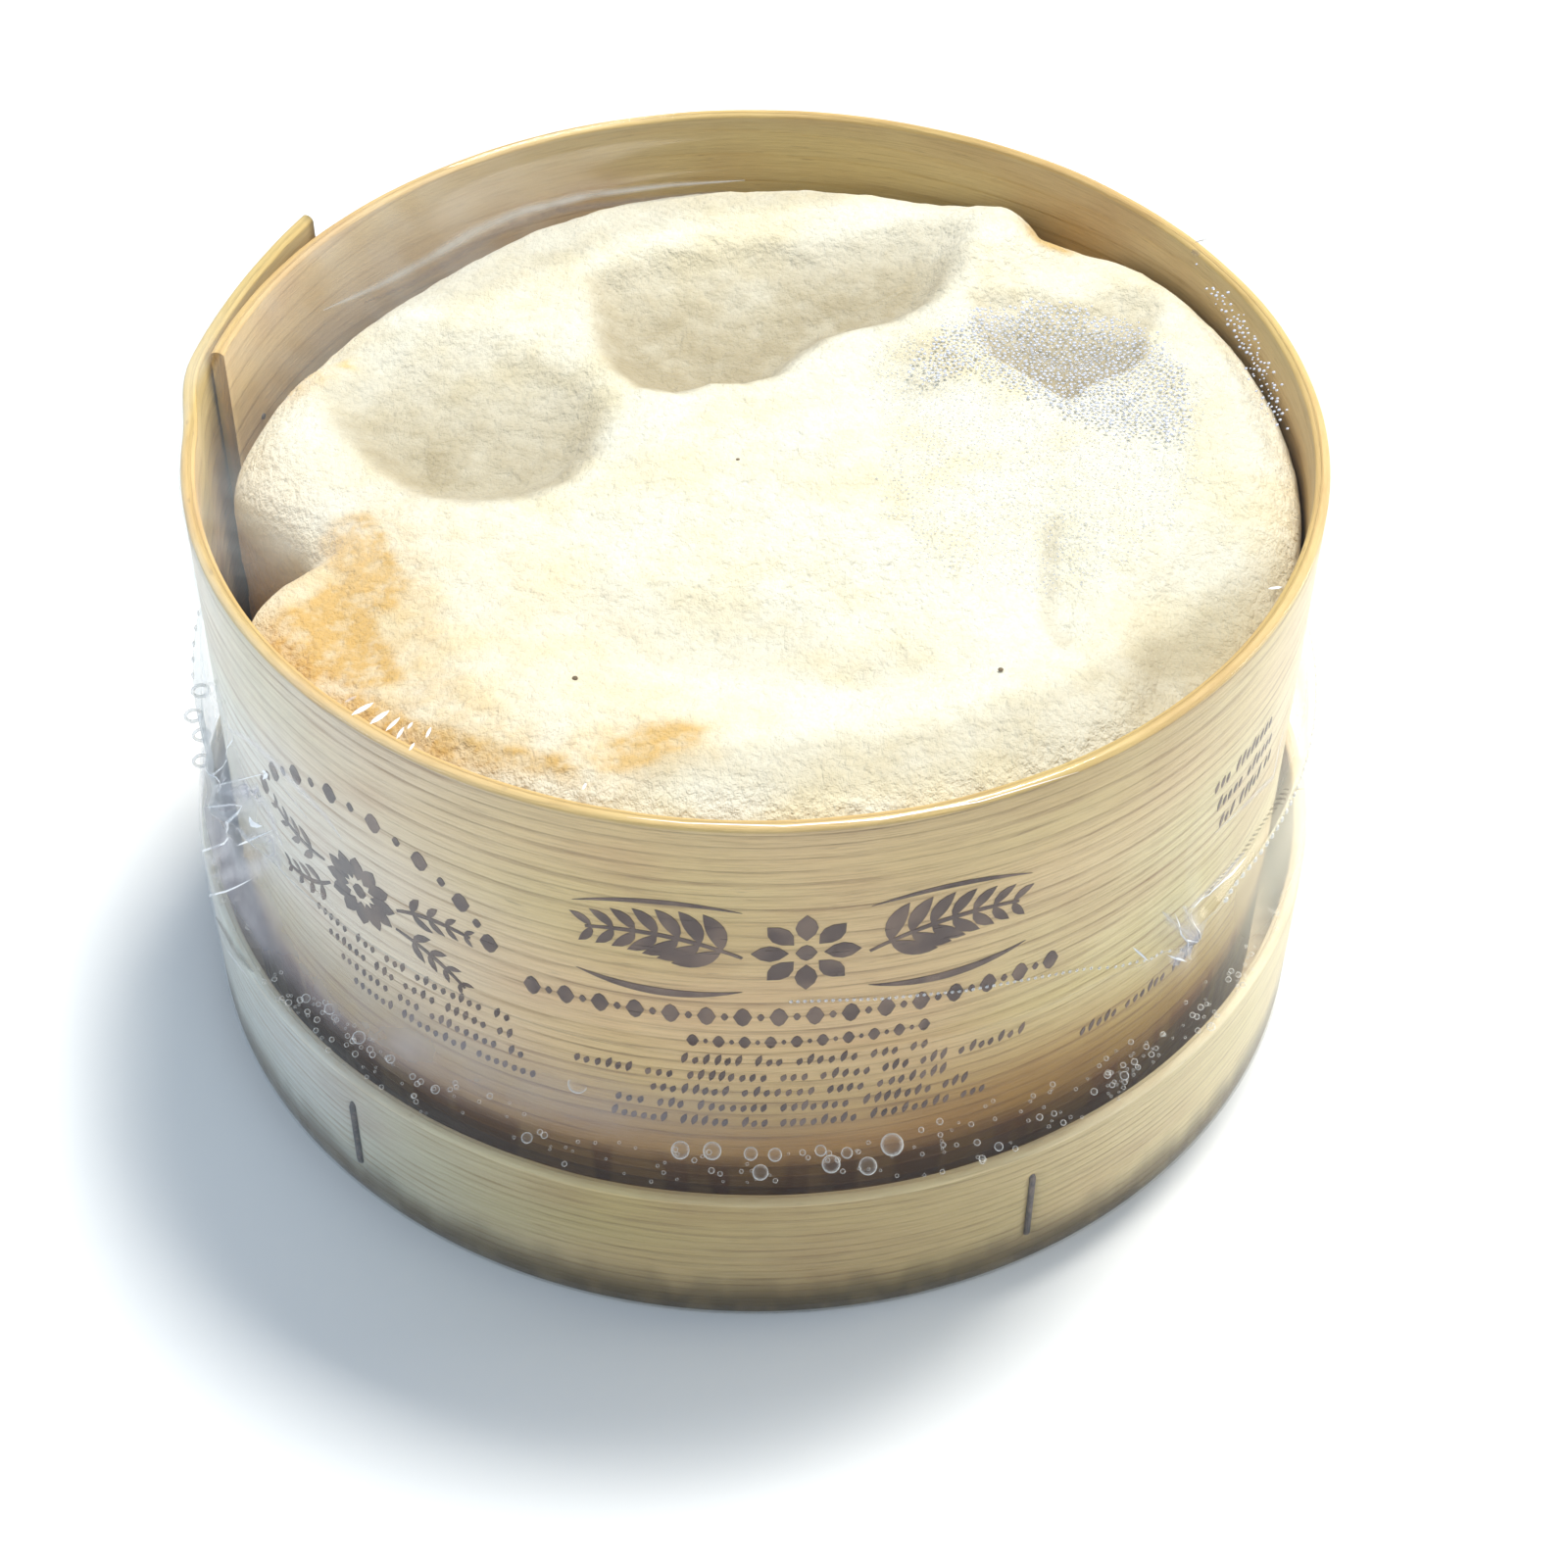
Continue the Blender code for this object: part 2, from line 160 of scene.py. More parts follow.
def turned_places(x: Array, y: Array, centre: Place, turn: float) -> tuple[Array, Array]:
    """Places as seen from a centre, along a direction and across it.

    Args:
        x: Places along X.
        y: Places along Y.
        centre: The centre.
        turn: The direction, in degrees.

    Returns:
        Distances along and across.
    """
    side = math.radians(turn)
    away_x, away_y = x - centre[0], y - centre[1]
    along = away_x * math.cos(side) + away_y * math.sin(side)
    return along, away_y * math.cos(side) - away_x * math.sin(side)


def inside(x: Array, y: Array, outline: Array) -> Array:
    """How far places lie inside an outline; below 0 is outside.

    Args:
        x: Places along X.
        y: Places along Y.
        outline: The outline's corners in order, one row each, in the same unit.

    Returns:
        Distances to the outline.
    """
    nearest = np.full(np.shape(x), np.inf)
    within = np.zeros(np.shape(x), dtype=bool)
    for (x0, y0), (x1, y1) in zip(outline, np.roll(outline, -1, axis=0)):
        run_x, run_y = x1 - x0, y1 - y0
        share = np.clip(((x - x0) * run_x + (y - y0) * run_y) / (run_x * run_x + run_y * run_y), 0.0, 1.0)
        nearest = np.minimum(nearest, np.hypot(x - x0 - share * run_x, y - y0 - share * run_y))
        crossed = (y0 > y) != (y1 > y)
        within ^= crossed & (x < x0 + run_x * (y - y0) / (run_y if run_y else 1e-9))
    return np.where(within, nearest, -nearest)


@dataclass(frozen=True)
class Sight:
    """The photograph's line of sight, shared with the camera: what place a spot of the picture shows."""

    place: Colour = (3.33 * MM, -239.97 * MM, 256.60 * MM)
    look_down: float = 45.159
    roll: float = 0.786
    lens: float = 67.24
    sensor: float = 36.0
    picture: float = 1600.0

    def pose(self) -> Matrix:
        """Where the camera stands and which way it looks."""
        tilt = Matrix.Rotation(math.radians(90.0 - self.look_down), 4, "X")
        return Matrix.Translation(self.place) @ tilt @ Matrix.Rotation(math.radians(self.roll), 4, "Z")

    def ways(self, spots: Spots) -> Array:
        """Directions in which spots of the picture are seen.

        Args:
            spots: Spots, in pixels from the upper left.

        Returns:
            One direction for each.
        """
        seen = (np.array(spots, dtype=float) - self.picture / 2) * self.sensor / self.lens / self.picture
        local = np.stack([seen[:, 0], -seen[:, 1], -np.ones(len(seen))], axis=1)
        return local @ np.array(self.pose().to_3x3()).T

    def level(self, spots: Spots, height: Union[float, Array]) -> Array:
        """Places where spots are seen at a height.

        Args:
            spots: Spots of the picture.
            height: The height, or one for each spot.

        Returns:
            Places along X and Y, one row for each spot.
        """
        way = self.ways(spots)
        reach = (height - self.place[2]) / way[:, 2]
        return np.array(self.place[:2]) + way[:, :2] * reach[:, None]

    def upon(self, spots: Spots, surface: Callable[[Array, Array], Array]) -> Array:
        """Places where spots are seen on a surface that is nearly level.

        Args:
            spots: Spots of the picture.
            surface: Gives the height at places.

        Returns:
            Places along X and Y, one row for each spot.
        """
        height = 0.066
        for _ in range(5):
            found = self.level(spots, height)
            height = surface(found[:, 0], found[:, 1])
        return found

    def against(self, spots: Spots, surface: Callable[[Array, Array], Array]) -> Array:
        """Places where spots are seen on a surface that goes round the upright axis.

        Args:
            spots: Spots of the picture.
            surface: Gives the radius at angles and heights.

        Returns:
            Angle in degrees and height, one row for each spot.
        """
        way = self.ways(spots)
        flat = (way[:, :2] ** 2).sum(axis=1)
        toward = way[:, :2] @ np.array(self.place[:2])
        radius = 0.060
        for _ in range(5):
            short = toward ** 2 - flat * (self.place[0] ** 2 + self.place[1] ** 2 - radius ** 2)
            reach = (-toward - np.sqrt(np.maximum(short, 0.0))) / flat
            found = np.array(self.place) + way * reach[:, None]
            angle = np.degrees(np.arctan2(found[:, 1], found[:, 0])) % 360.0
            radius = surface(angle, found[:, 2])
        return np.stack([angle, found[:, 2]], axis=1)


SIGHT = Sight()


# Meshes.


def mesh_object(name: str, points: Array, faces: Sequence[Sequence[int]]) -> Piece:
    """A smooth-shaded mesh object in the scene.

    Args:
        name: The piece's name.
        points: One row for each vertex.
        faces: Vertex numbers of each face.

    Returns:
        The new object.
    """
    mesh = bpy.data.meshes.new(name)
    mesh.from_pydata(points.reshape(-1, 3).tolist(), [], [list(face) for face in faces])
    mesh.validate()
    mesh.shade_smooth()
    made = bpy.data.objects.new(name, mesh)
    bpy.context.scene.collection.objects.link(made)
    return made


def grid_faces(rows: int, columns: int, wrap: bool) -> list[tuple[int, int, int, int]]:
    """Quads of a grid whose points are numbered row by row.

    Args:
        rows: How many rows.
        columns: How many points in a row.
        wrap: Whether the last column joins the first.

    Returns:
        The faces, facing out where rows run up and columns run anticlockwise.
    """
    faces = []
    for row in range(rows - 1):
        for column in range(columns if wrap else columns - 1):
            after = (column + 1) % columns
            low = row * columns
            high = low + columns
            faces.append((low + column, low + after, high + after, high + column))
    return faces


def closed_tube(rows: int, columns: int, flip: bool = False) -> list[tuple[int, ...]]:
    """Faces of a grid that wraps round and is closed at both ends.

    Args:
        rows: How many rows.
        columns: How many points in a row.
        flip: Whether the rows run down instead of up.

    Returns:
        The faces.
    """
    faces = grid_faces(rows, columns, True)
    faces.append(tuple(reversed(range(columns))))
    faces.append(tuple(range((rows - 1) * columns, rows * columns)))
    return [tuple(reversed(face)) for face in faces] if flip else faces


def paint(made: Piece, name: str, values: Array) -> None:
    """Store one number for each vertex, for the finish to read.

    Args:
        made: The mesh object.
        name: The attribute's name.
        values: One number for each vertex.
    """
    layer = made.data.attributes.new(name, "FLOAT", "POINT")
    layer.data.foreach_set("value", np.ascontiguousarray(values, dtype=np.float32).ravel())


def settle(
    made: Piece,
    finishes: Iterable[Material],
    slot: str = "",
    stands_for: Iterable[str] = (),
) -> Piece:
    """Dress a piece, fix it to the model's one body and hide the solids that it stands for.

    Args:
        made: The piece.
        finishes: Its materials in order.
        slot: Not used.
        stands_for: The solids that the piece replaces.

    Returns:
        The piece.
    """
    for finish in finishes:
        made.data.materials.append(finish)
    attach(made, "root")
    for node in stands_for:
        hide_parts(node)
    LOG.info("%s: %d faces", made.name, len(made.data.polygons))
    return made


def cast_nothing(made: Piece) -> None:
    """Let light pass a clear piece as if it weren't there, for shadows and for light from other pieces."""
    made.visible_shadow = False
    made.visible_diffuse = False


# Shader sums.


class Value:
    """A node's output socket that can be used in Python sums."""

    def __init__(self, tree: "Tree", socket: bpy.types.NodeSocket) -> None:
        """Keep the socket and its tree."""
        self.tree = tree
        self.socket = socket

    def __add__(self, other: "Term") -> "Value":
        """Sum."""
        return self.tree.sum("ADD", self, other)

    def __radd__(self, other: "Term") -> "Value":
        """Sum with the number first."""
        return self.tree.sum("ADD", other, self)

    def __sub__(self, other: "Term") -> "Value":
        """Difference."""
        return self.tree.sum("SUBTRACT", self, other)

    def __rsub__(self, other: "Term") -> "Value":
        """Difference with the number first."""
        return self.tree.sum("SUBTRACT", other, self)

    def __mul__(self, other: "Term") -> "Value":
        """Product."""
        return self.tree.sum("MULTIPLY", self, other)

    def __rmul__(self, other: "Term") -> "Value":
        """Product with the number first."""
        return self.tree.sum("MULTIPLY", other, self)

    def __pow__(self, other: "Term") -> "Value":
        """Power."""
        return self.tree.sum("POWER", self, other)

    def fraction(self) -> "Value":
        """The part after the point."""
        return self.tree.sum("FRACT", self)

    def at_most(self, other: "Term") -> "Value":
        """The smaller of two."""
        return self.tree.sum("MINIMUM", self, other)

    def step(self, low: float, high: float) -> "Value":
        """Eased from 0 at the low value to 1 at the high one."""
        sockets = {"Value": self, "From Min": low, "From Max": high, "To Min": 0.0, "To Max": 1.0}
        return self.tree.value("ShaderNodeMapRange", {"interpolation_type": "SMOOTHSTEP"}, sockets)


Term = Union[Value, float]
Socketed = Union[Value, float, Sequence[float]]
Key = Union[str, int]
Settings = Union[Mapping[str, object], None]
Sockets = Union[Mapping[Key, Socketed], None]


class Tree:
    """The nodes of one material, or of the world."""

    def __init__(self, name: str, world: bool = False) -> None:
        """Start with no nodes."""
        self.owner = (bpy.data.worlds if world else bpy.data.materials).new(name)
        self.owner.use_nodes = True
        self.graph = self.owner.node_tree
        self.graph.nodes.clear()

    def node(self, kind: str, settings: Settings = None, sockets: Sockets = None) -> bpy.types.Node:
        """Add a node.

        Args:
            kind: The node's type.
            settings: Its own settings, set first.
            sockets: Values or links for its inputs, by name or number.

        Returns:
            The node.
        """
        made = self.graph.nodes.new(kind)
        for key, setting in (settings or {}).items():
            setattr(made, key, setting)
        for key, given in (sockets or {}).items():
            if isinstance(given, Value):
                self.graph.links.new(given.socket, made.inputs[key])
            else:
                made.inputs[key].default_value = given
        return made

    def value(self, kind: str, settings: Settings = None, sockets: Sockets = None, output: Key = 0) -> Value:
        """Add a node and take one of its outputs."""
        return Value(self, self.node(kind, settings, sockets).outputs[output])

    def sum(self, operation: str, *terms: Term) -> Value:
        """Add a Math node."""
        return self.value("ShaderNodeMath", {"operation": operation}, dict(enumerate(terms)))

    def attribute(self, name: str) -> Value:
        """A number stored on the mesh."""
        settings = {"attribute_name": name, "attribute_type": "GEOMETRY"}
        return self.value("ShaderNodeAttribute", settings, output="Fac")

    def place(self) -> Value:
        """The object's own coordinates, in metres."""
        return self.value("ShaderNodeTexCoord", output="Object")

    def strip(self) -> Value:
        """The veneer's own coordinates: along the strip and across it, in metres."""
        return self.value("ShaderNodeTexCoord", output="UV")

    def scaled(self, vector: Value, by: Colour) -> Value:
        """A vector with each coordinate multiplied."""
        return self.value("ShaderNodeVectorMath", {"operation": "MULTIPLY"}, {0: vector, 1: by})

    def coordinate(self, vector: Value, axis: str) -> Value:
        """One coordinate of a vector."""
        return self.value("ShaderNodeSeparateXYZ", sockets={0: vector}, output=axis)

    def noise(self, vector: Value, scale: float, detail: float = 3.0, rough: float = 0.5) -> Value:
        """Noise from 0 to 1."""
        sockets = {"Vector": vector, "Scale": scale, "Detail": detail, "Roughness": rough}
        return self.value("ShaderNodeTexNoise", sockets=sockets)

    def mix(self, factor: Term, first: Socketed, second: Socketed, blend: str = "MIX") -> Value:
        """Blend two colours."""
        settings = {"data_type": "RGBA", "blend_type": blend}
        return self.value("ShaderNodeMix", settings, {0: factor, 6: rgba(first), 7: rgba(second)}, 2)

    def bump(self, height: Value, depth: float, strength: float = 1.0) -> Value:
        """A normal from heights."""
        sockets = {"Strength": strength, "Distance": depth, "Height": height}
        return self.value("ShaderNodeBump", sockets=sockets)

    def principled(self, **sockets: Socketed) -> Value:
        """A Principled shader, with input names written with _ for a space."""
        named = {key.replace("_", " "): rgba(given) for key, given in sockets.items()}
        return self.value("ShaderNodeBsdfPrincipled", sockets=named)

    def blend_shaders(self, factor: Term, first: Value, second: Value) -> Value:
        """Mix two shaders."""
        return self.value("ShaderNodeMixShader", sockets={0: factor, 1: first, 2: second})

    def finish(self, shader: Value, output: str = "Material") -> Union[Material, bpy.types.World]:
        """Link the last shader to the output, and give the material or world."""
        self.node("ShaderNodeOutput" + output, sockets={"Surface": shader})
        return self.owner


def rgba(given: Socketed) -> Socketed:
    """A colour of three numbers with an alpha of 1 added; anything else as it is.

    Args:
        given: A colour, number or socket.

    Returns:
        What a colour socket takes.
    """
    if isinstance(given, tuple) and len(given) == 3:
        return (*given, 1.0)
    return given


# Finishes.


@dataclass(frozen=True)
class Rind:
    """Velvety cream rind with ochre stains, painted shade greying its hollows, and brown flanks that are
    partly painted shade.
    """

    cream: Colour = (0.92, 0.87, 0.71)
    warm: Colour = (0.90, 0.80, 0.55)
    # hollow: painted shade, greying the rind in its hollows and shaded patches; the fur's mottling also uses
    # it
    hollow: Colour = (0.46, 0.38, 0.235)
    ochre: Colour = (0.72, 0.45, 0.14)
    # flank: browner down the sides, partly the rind's own colour, partly painted shade in the gap to the box
    flank: Colour = (0.58, 0.38, 0.15)
    pimple: Colour = (0.78, 0.54, 0.17)

    def material(self) -> Material:
        """Build the finish.

        Returns:
            The material.
        """
        tree = Tree("rind")
        place = tree.place()
        cloud = tree.noise(place, 90.0, 3.0, 0.65)
        fur = tree.noise(tree.scaled(place, (1.0, 0.75, 1.0)), 1400.0, 3.0, 0.75)
        lumps = tree.noise(place, 420.0, 2.0, 0.65)
        hollow = tree.attribute("hollow")
        stain = tree.attribute("stain")
        flank = tree.attribute("flank")
        skin = tree.mix(cloud.step(0.38, 0.72), self.cream, self.warm)
        # Painted shade: the rind turns grey in the hollows and the shaded patches.
        shade_painted = tree.mix((hollow * (0.2 + 1.0 * cloud + 0.6 * lumps)).at_most(1.0), skin, self.hollow)
        patchy = (stain * (0.3 + lumps.step(0.30, 0.64) * 0.45 + cloud * 0.65)).at_most(1.0)
        stained = tree.mix(patchy, shade_painted, self.ochre)
        # Browner down the flanks: partly the rind's own colour, partly painted shade in the gap to the box.
        sided = tree.mix((flank * (0.7 + 0.6 * lumps)).at_most(1.0), stained, self.flank)
        dotted = tree.mix(tree.attribute("pimple") * lumps.step(0.25, 0.6), sided, self.pimple)
        shaded = tree.mix(fur.step(0.38, 0.66) * 0.30, dotted, tree.mix(0.6, dotted, self.hollow))
        normal = tree.bump(fur * 0.8 + lumps * 1.1, 0.60 * MM, 1.0)
        shader = tree.principled(
            Base_Color=shaded,
            Roughness=0.85,
            Sheen_Weight=0.2,
            Sheen_Roughness=0.5,
            Normal=normal,
        )
        return tree.finish(shader)


class Side(Enum):
    """Which face of the veneer a finish is for."""

    OUTER = "outer"
    INNER = "inner"
    EDGE = "edge"


@dataclass(frozen=True)
class Veneer:
    """Bare spruce veneer: growth rings along the strip, fibres, blotches, a foot darkened by painted shade
    and sides paled by painted light.
    """

    name: str
    side: Side
    early: Colour = (0.76, 0.60, 0.35)
    late: Colour = (0.56, 0.38, 0.17)
    fleck: Colour = (0.30, 0.19, 0.09)
    ring: float = 1.75 * MM
    contrast: float = 0.6
    # Painted shade at the foot, in patches unless 'even' is near 1.
    foot_shade: Colour = (0.13, 0.065, 0.022)
    foot_shade_top: float = -0.1
    foot_shade_fade: float = 2.0 * MM
    # Partly painted shade, partly a brown stain, lower on the wall; 'lean' adds more at the right front.
    low_shade_and_stain: Colour = (1.0, 1.0, 1.0)
    low_shade_and_stain_top: float = 38.0 * MM
    lean: Colour = (1.0, 1.0, 1.0)
    even: float = 0.35
    # Painted light on the sides: a cool painted reflection left of the front, warm painted light right of it.
    painted_side_light: Colour = (0.84, 0.86, 0.80)
    painted_warm_light: Colour = (0.86, 0.78, 0.51)
    painted_side_light_share: float = 0.0
    front: float = 0.0

    def material(self) -> Material:
        """Build the finish.

        Returns:
            The material.
        """
        tree = Tree(f"{self.name}_{self.side.value}")
        strip = tree.strip()
        across = tree.coordinate(strip, "Y")
        past = tree.coordinate(strip, "X") - self.front
        away = tree.sum("ABSOLUTE", past)
        # Painted light: cool painted reflection left of the front, warm painted light right of it.
        painted_side_light = tree.mix(past.step(-10.0 * MM, 10.0 * MM), self.painted_warm_light, self.painted_side_light)
        wander = tree.noise(tree.scaled(strip, (7.0, 40.0, 1.0)), 1.0, 2.0)
        phase = (across * (1.0 / self.ring) + wander * 4.0).fraction()
        line = phase.step(0.46, 0.86) * (1.0 - phase.step(0.87, 1.0))
        strength = tree.noise(tree.scaled(strip, (34.0, 460.0, 1.0)), 1.0, 3.0, 0.7)
        fibre = tree.noise(tree.scaled(strip, (110.0, 3600.0, 1.0)), 1.0, 3.0, 0.75)
        blotch = tree.noise(tree.scaled(strip, (42.0, 80.0, 1.0)), 1.0, 2.0, 0.6)
        cast = tree.noise(tree.scaled(strip, (15.0, 30.0, 1.0)), 1.0, 2.0)
        dash = tree.noise(tree.scaled(strip, (260.0, 2600.0, 1.0)), 1.0, 2.0)
        # The painted side light fades out about a quarter turn from the front, and is weaker near the top.
        seen = (1.0 - away.step(96.0 * MM, 112.0 * MM)) * (1.0 - across.step(50.0 * MM, 60.0 * MM) * 0.4)
        early = tree.mix(away.step(12.0 * MM, 62.0 * MM) * seen * self.painted_side_light_share, self.early, painted_side_light)
        broken = strength.step(0.34, 0.66) * (0.45 + fibre.step(0.35, 0.65) * 0.55)
        wood = tree.mix(line * broken * self.contrast, early, self.late)
        fibred = tree.mix(fibre.step(0.42, 0.72) * 0.42, wood, self.late)
        green = tree.mix(cast.step(0.40, 0.65) * 0.7, fibred, (0.90, 1.0, 0.82), "MULTIPLY")
        aged = tree.mix(blotch.step(0.46, 0.76) * 0.55, green, (0.78, 0.66, 0.62), "MULTIPLY")
        flecked = tree.mix(dash.step(0.66, 0.76) * 0.45, aged, self.fleck)
        # Partly painted shade, partly a brown stain: darker from its top height down to 22 mm, more at the
        # right front.
        low = ((1.0 - across.step(22.0 * MM, self.low_shade_and_stain_top)) * (0.75 + 0.5 * blotch)).at_most(1.0)
        aside = past.step(-75.0 * MM, -45.0 * MM) * (1.0 - past.step(-30.0 * MM, -8.0 * MM))
        wet = tree.mix(low, flecked, self.low_shade_and_stain, "MULTIPLY")
        low_shaded_and_stained = tree.mix(low * aside, wet, self.lean, "MULTIPLY")
        # Painted shade at the foot, in patches.
        patch = tree.noise(tree.scaled(strip, (190.0, 40.0, 1.0)), 1.0, 2.0)
        foot = 1.0 - (across + patch * self.foot_shade_fade).step(self.foot_shade_top, self.foot_shade_top + self.foot_shade_fade)
        uneven = self.even + patch.step(0.42, 0.54) * (1.0 - self.even)
        foot_shaded = tree.mix(foot * uneven, low_shaded_and_stained, self.foot_shade)
        normal = tree.bump(fibre + line * 0.6, 0.16 * MM, 0.8)
        return tree.finish(tree.principled(Base_Color=foot_shaded, Roughness=0.5 + fibre * 0.25, Normal=normal))


@dataclass(frozen=True)
class Board:
    """Plain spruce board with straight grain along X."""

    name: str = "board"
    early: Colour = (0.70, 0.54, 0.31)
    late: Colour = (0.50, 0.34, 0.16)

    def material(self) -> Material:
        """Build the finish.

        Returns:
            The material.
        """
        tree = Tree(self.name)
        place = tree.place()
        across = tree.coordinate(place, "Y")
        wander = tree.noise(tree.scaled(place, (8.0, 30.0, 30.0)), 1.0, 2.0)
        ring = (across * (1.0 / (2.6 * MM)) + wander * 4.0).fraction().step(0.4, 0.95)
        fibre = tree.noise(tree.scaled(place, (70.0, 2500.0, 2500.0)), 1.0, 4.0, 0.6)
        wood = tree.mix(ring * 0.6, self.early, self.late)
        fibred = tree.mix(fibre.step(0.45, 0.8) * 0.4, wood, self.late)
        normal = tree.bump(fibre, 0.1 * MM, 0.6)
        return tree.finish(tree.principled(Base_Color=fibred, Roughness=0.6, Normal=normal))


@dataclass(frozen=True)
class StapleWire:
    """Dull dark wire with a breath of rust."""

    dark: Colour = (0.085, 0.075, 0.075)
    worn: Colour = (0.22, 0.17, 0.15)

    def material(self) -> Material:
        """Build the finish.

        Returns:
            The material.
        """
        tree = Tree("staple_wire")
        place = tree.place()
        rust = tree.noise(place, 1400.0, 4.0, 0.6)
        colour = tree.mix(rust.step(0.4, 0.7), self.dark, self.worn)
        shader = tree.principled(
            Base_Color=colour,
            Metallic=0.6,
            Roughness=0.35 + rust * 0.3,
            Normal=tree.bump(rust, 0.05 * MM, 0.5),
        )
        return tree.finish(shader)


@dataclass(frozen=True)
class Ink:
    """Faded brown print, worn through where the grain stands up."""

    colour: Colour = (0.100, 0.058, 0.045)
    worn: Colour = (0.22, 0.14, 0.10)
    name: str = "ink"
    cover: float = 0.93

    def material(self) -> Material:
        """Build the finish.

        Returns:
            The material.
        """
        tree = Tree(self.name)
        place = tree.place()
        grain = tree.noise(tree.scaled(place, (150.0, 150.0, 3600.0)), 1.0, 4.0, 0.6)
        patch = tree.noise(place, 260.0, 3.0)
        colour = tree.mix(patch.step(0.35, 0.7), self.colour, self.worn)
        cover = self.cover * (1.0 - grain.step(0.58, 0.75) * 0.6)
        return tree.finish(tree.principled(Base_Color=colour, Roughness=0.7, Alpha=cover))


@dataclass(frozen=True)
class ClearFilm:
    """Clear shrink film: see-through, glossy at a glance, misted where it stands off the wood, with painted
    reflection on its left and painted light on its right.
    """

    name: str = "clear_film"
    mist: Colour = (0.53, 0.51, 0.55)
    # pale: painted reflection of cool light on the left side, also used for a pale veil at the back
    pale: Colour = (0.84, 0.91, 0.93)
    # cream: painted warm light on the right side
    cream: Colour = (0.97, 0.92, 0.74)
    gloss_floor: float = 0.022
    gloss_rise: float = 0.42

    def material(self) -> Material:
        """Build the finish of the outside.

        Returns:
            The material.
        """
        tree = Tree(self.name)
        facing = tree.value("ShaderNodeLayerWeight", sockets={"Blend": 0.5}, output="Facing")
        shine = (self.gloss_floor + self.gloss_rise * facing ** 5.0) * tree.attribute("shine")
        clear = tree.value("ShaderNodeBsdfTransparent", sockets={"Color": (0.985, 0.99, 1.0, 1.0)})
        gloss = tree.principled(Base_Color=(1.0, 1.0, 1.0), Metallic=1.0, Roughness=0.1)
        # The diffuse coat: mist, turned to painted reflection by 'pale' and to painted light by 'warm'.
        mist_and_painted_reflection = tree.mix(tree.attribute("pale"), self.mist, self.pale)
        mist_and_painted_light = tree.mix(tree.attribute("warm"), mist_and_painted_reflection, self.cream)
        misted = tree.principled(Base_Color=mist_and_painted_light, Roughness=0.6, Specular_IOR_Level=0.0)
        glossy = tree.blend_shaders(shine, clear, gloss)
        return tree.finish(tree.blend_shaders(tree.attribute("haze"), glossy, misted))

    def lining(self) -> Material:
        """Build the finish of the inside, which neither shines nor mists."""
        tree = Tree(self.name + "_inside")
        return tree.finish(tree.value("ShaderNodeBsdfTransparent"))


@dataclass(frozen=True)
class FoldedFilm:
    """A stroke on the film: a fold, a window onto the wood, or a painted highlight, reflection or shadow; it
    fades out towards the sides of each stroke.
    """

    name: str
    colour: Colour = (0.95, 0.96, 0.98)
    cover: float = 0.6
    blur: float = 1.0
    grain: float = 900.0
    polish: float = 0.2

    def material(self) -> Material:
        """Build the finish.

        Returns:
            The material.
        """
        tree = Tree(self.name)
        patch = tree.noise(tree.place(), self.grain, 2.0)
        clear = tree.value("ShaderNodeBsdfTransparent")
        white = tree.principled(Base_Color=self.colour, Roughness=self.polish)
        middle = tree.attribute("middle").step(0.0, self.blur)
        factor = (self.cover * middle * (0.5 + 1.0 * patch)).at_most(1.0)
        return tree.finish(tree.blend_shaders(factor, clear, white))


@dataclass(frozen=True)
class Water:
    """Drops of water: clear in the middle, bright at the rim, where a white coat mixed in is a painted
    reflection.
    """

    name: str = "water"
    tint: Colour = (0.90, 0.93, 1.0)
    body: float = 0.10
    # rim: a white coat mixed in towards the silhouette, a painted reflection
    rim: float = 0.8
    sharp: float = 2.5

    def material(self) -> Material:
        """Build the finish.

        Returns:
            The material.
        """
        tree = Tree(self.name)
        facing = tree.value("ShaderNodeLayerWeight", sockets={"Blend": 0.5}, output="Facing")
        patch = tree.noise(tree.place(), 1200.0, 2.0)
        clear = tree.value("ShaderNodeBsdfTransparent")
        bright = tree.principled(Base_Color=self.tint, Roughness=0.05, Specular_IOR_Level=1.0)
        factor = (self.body + self.rim * facing ** self.sharp + 0.05 * patch).at_most(1.0)
        return tree.finish(tree.blend_shaders(factor, clear, bright))


@dataclass(frozen=True)
class Tabletop:
    """Plain pale floor."""

    colour: Colour = (0.93, 0.94, 0.95)

    def material(self) -> Material:
        """Build the finish."""
        tree = Tree("tabletop")
        return tree.finish(tree.principled(Base_Color=self.colour, Roughness=0.6))


# The object's pieces.


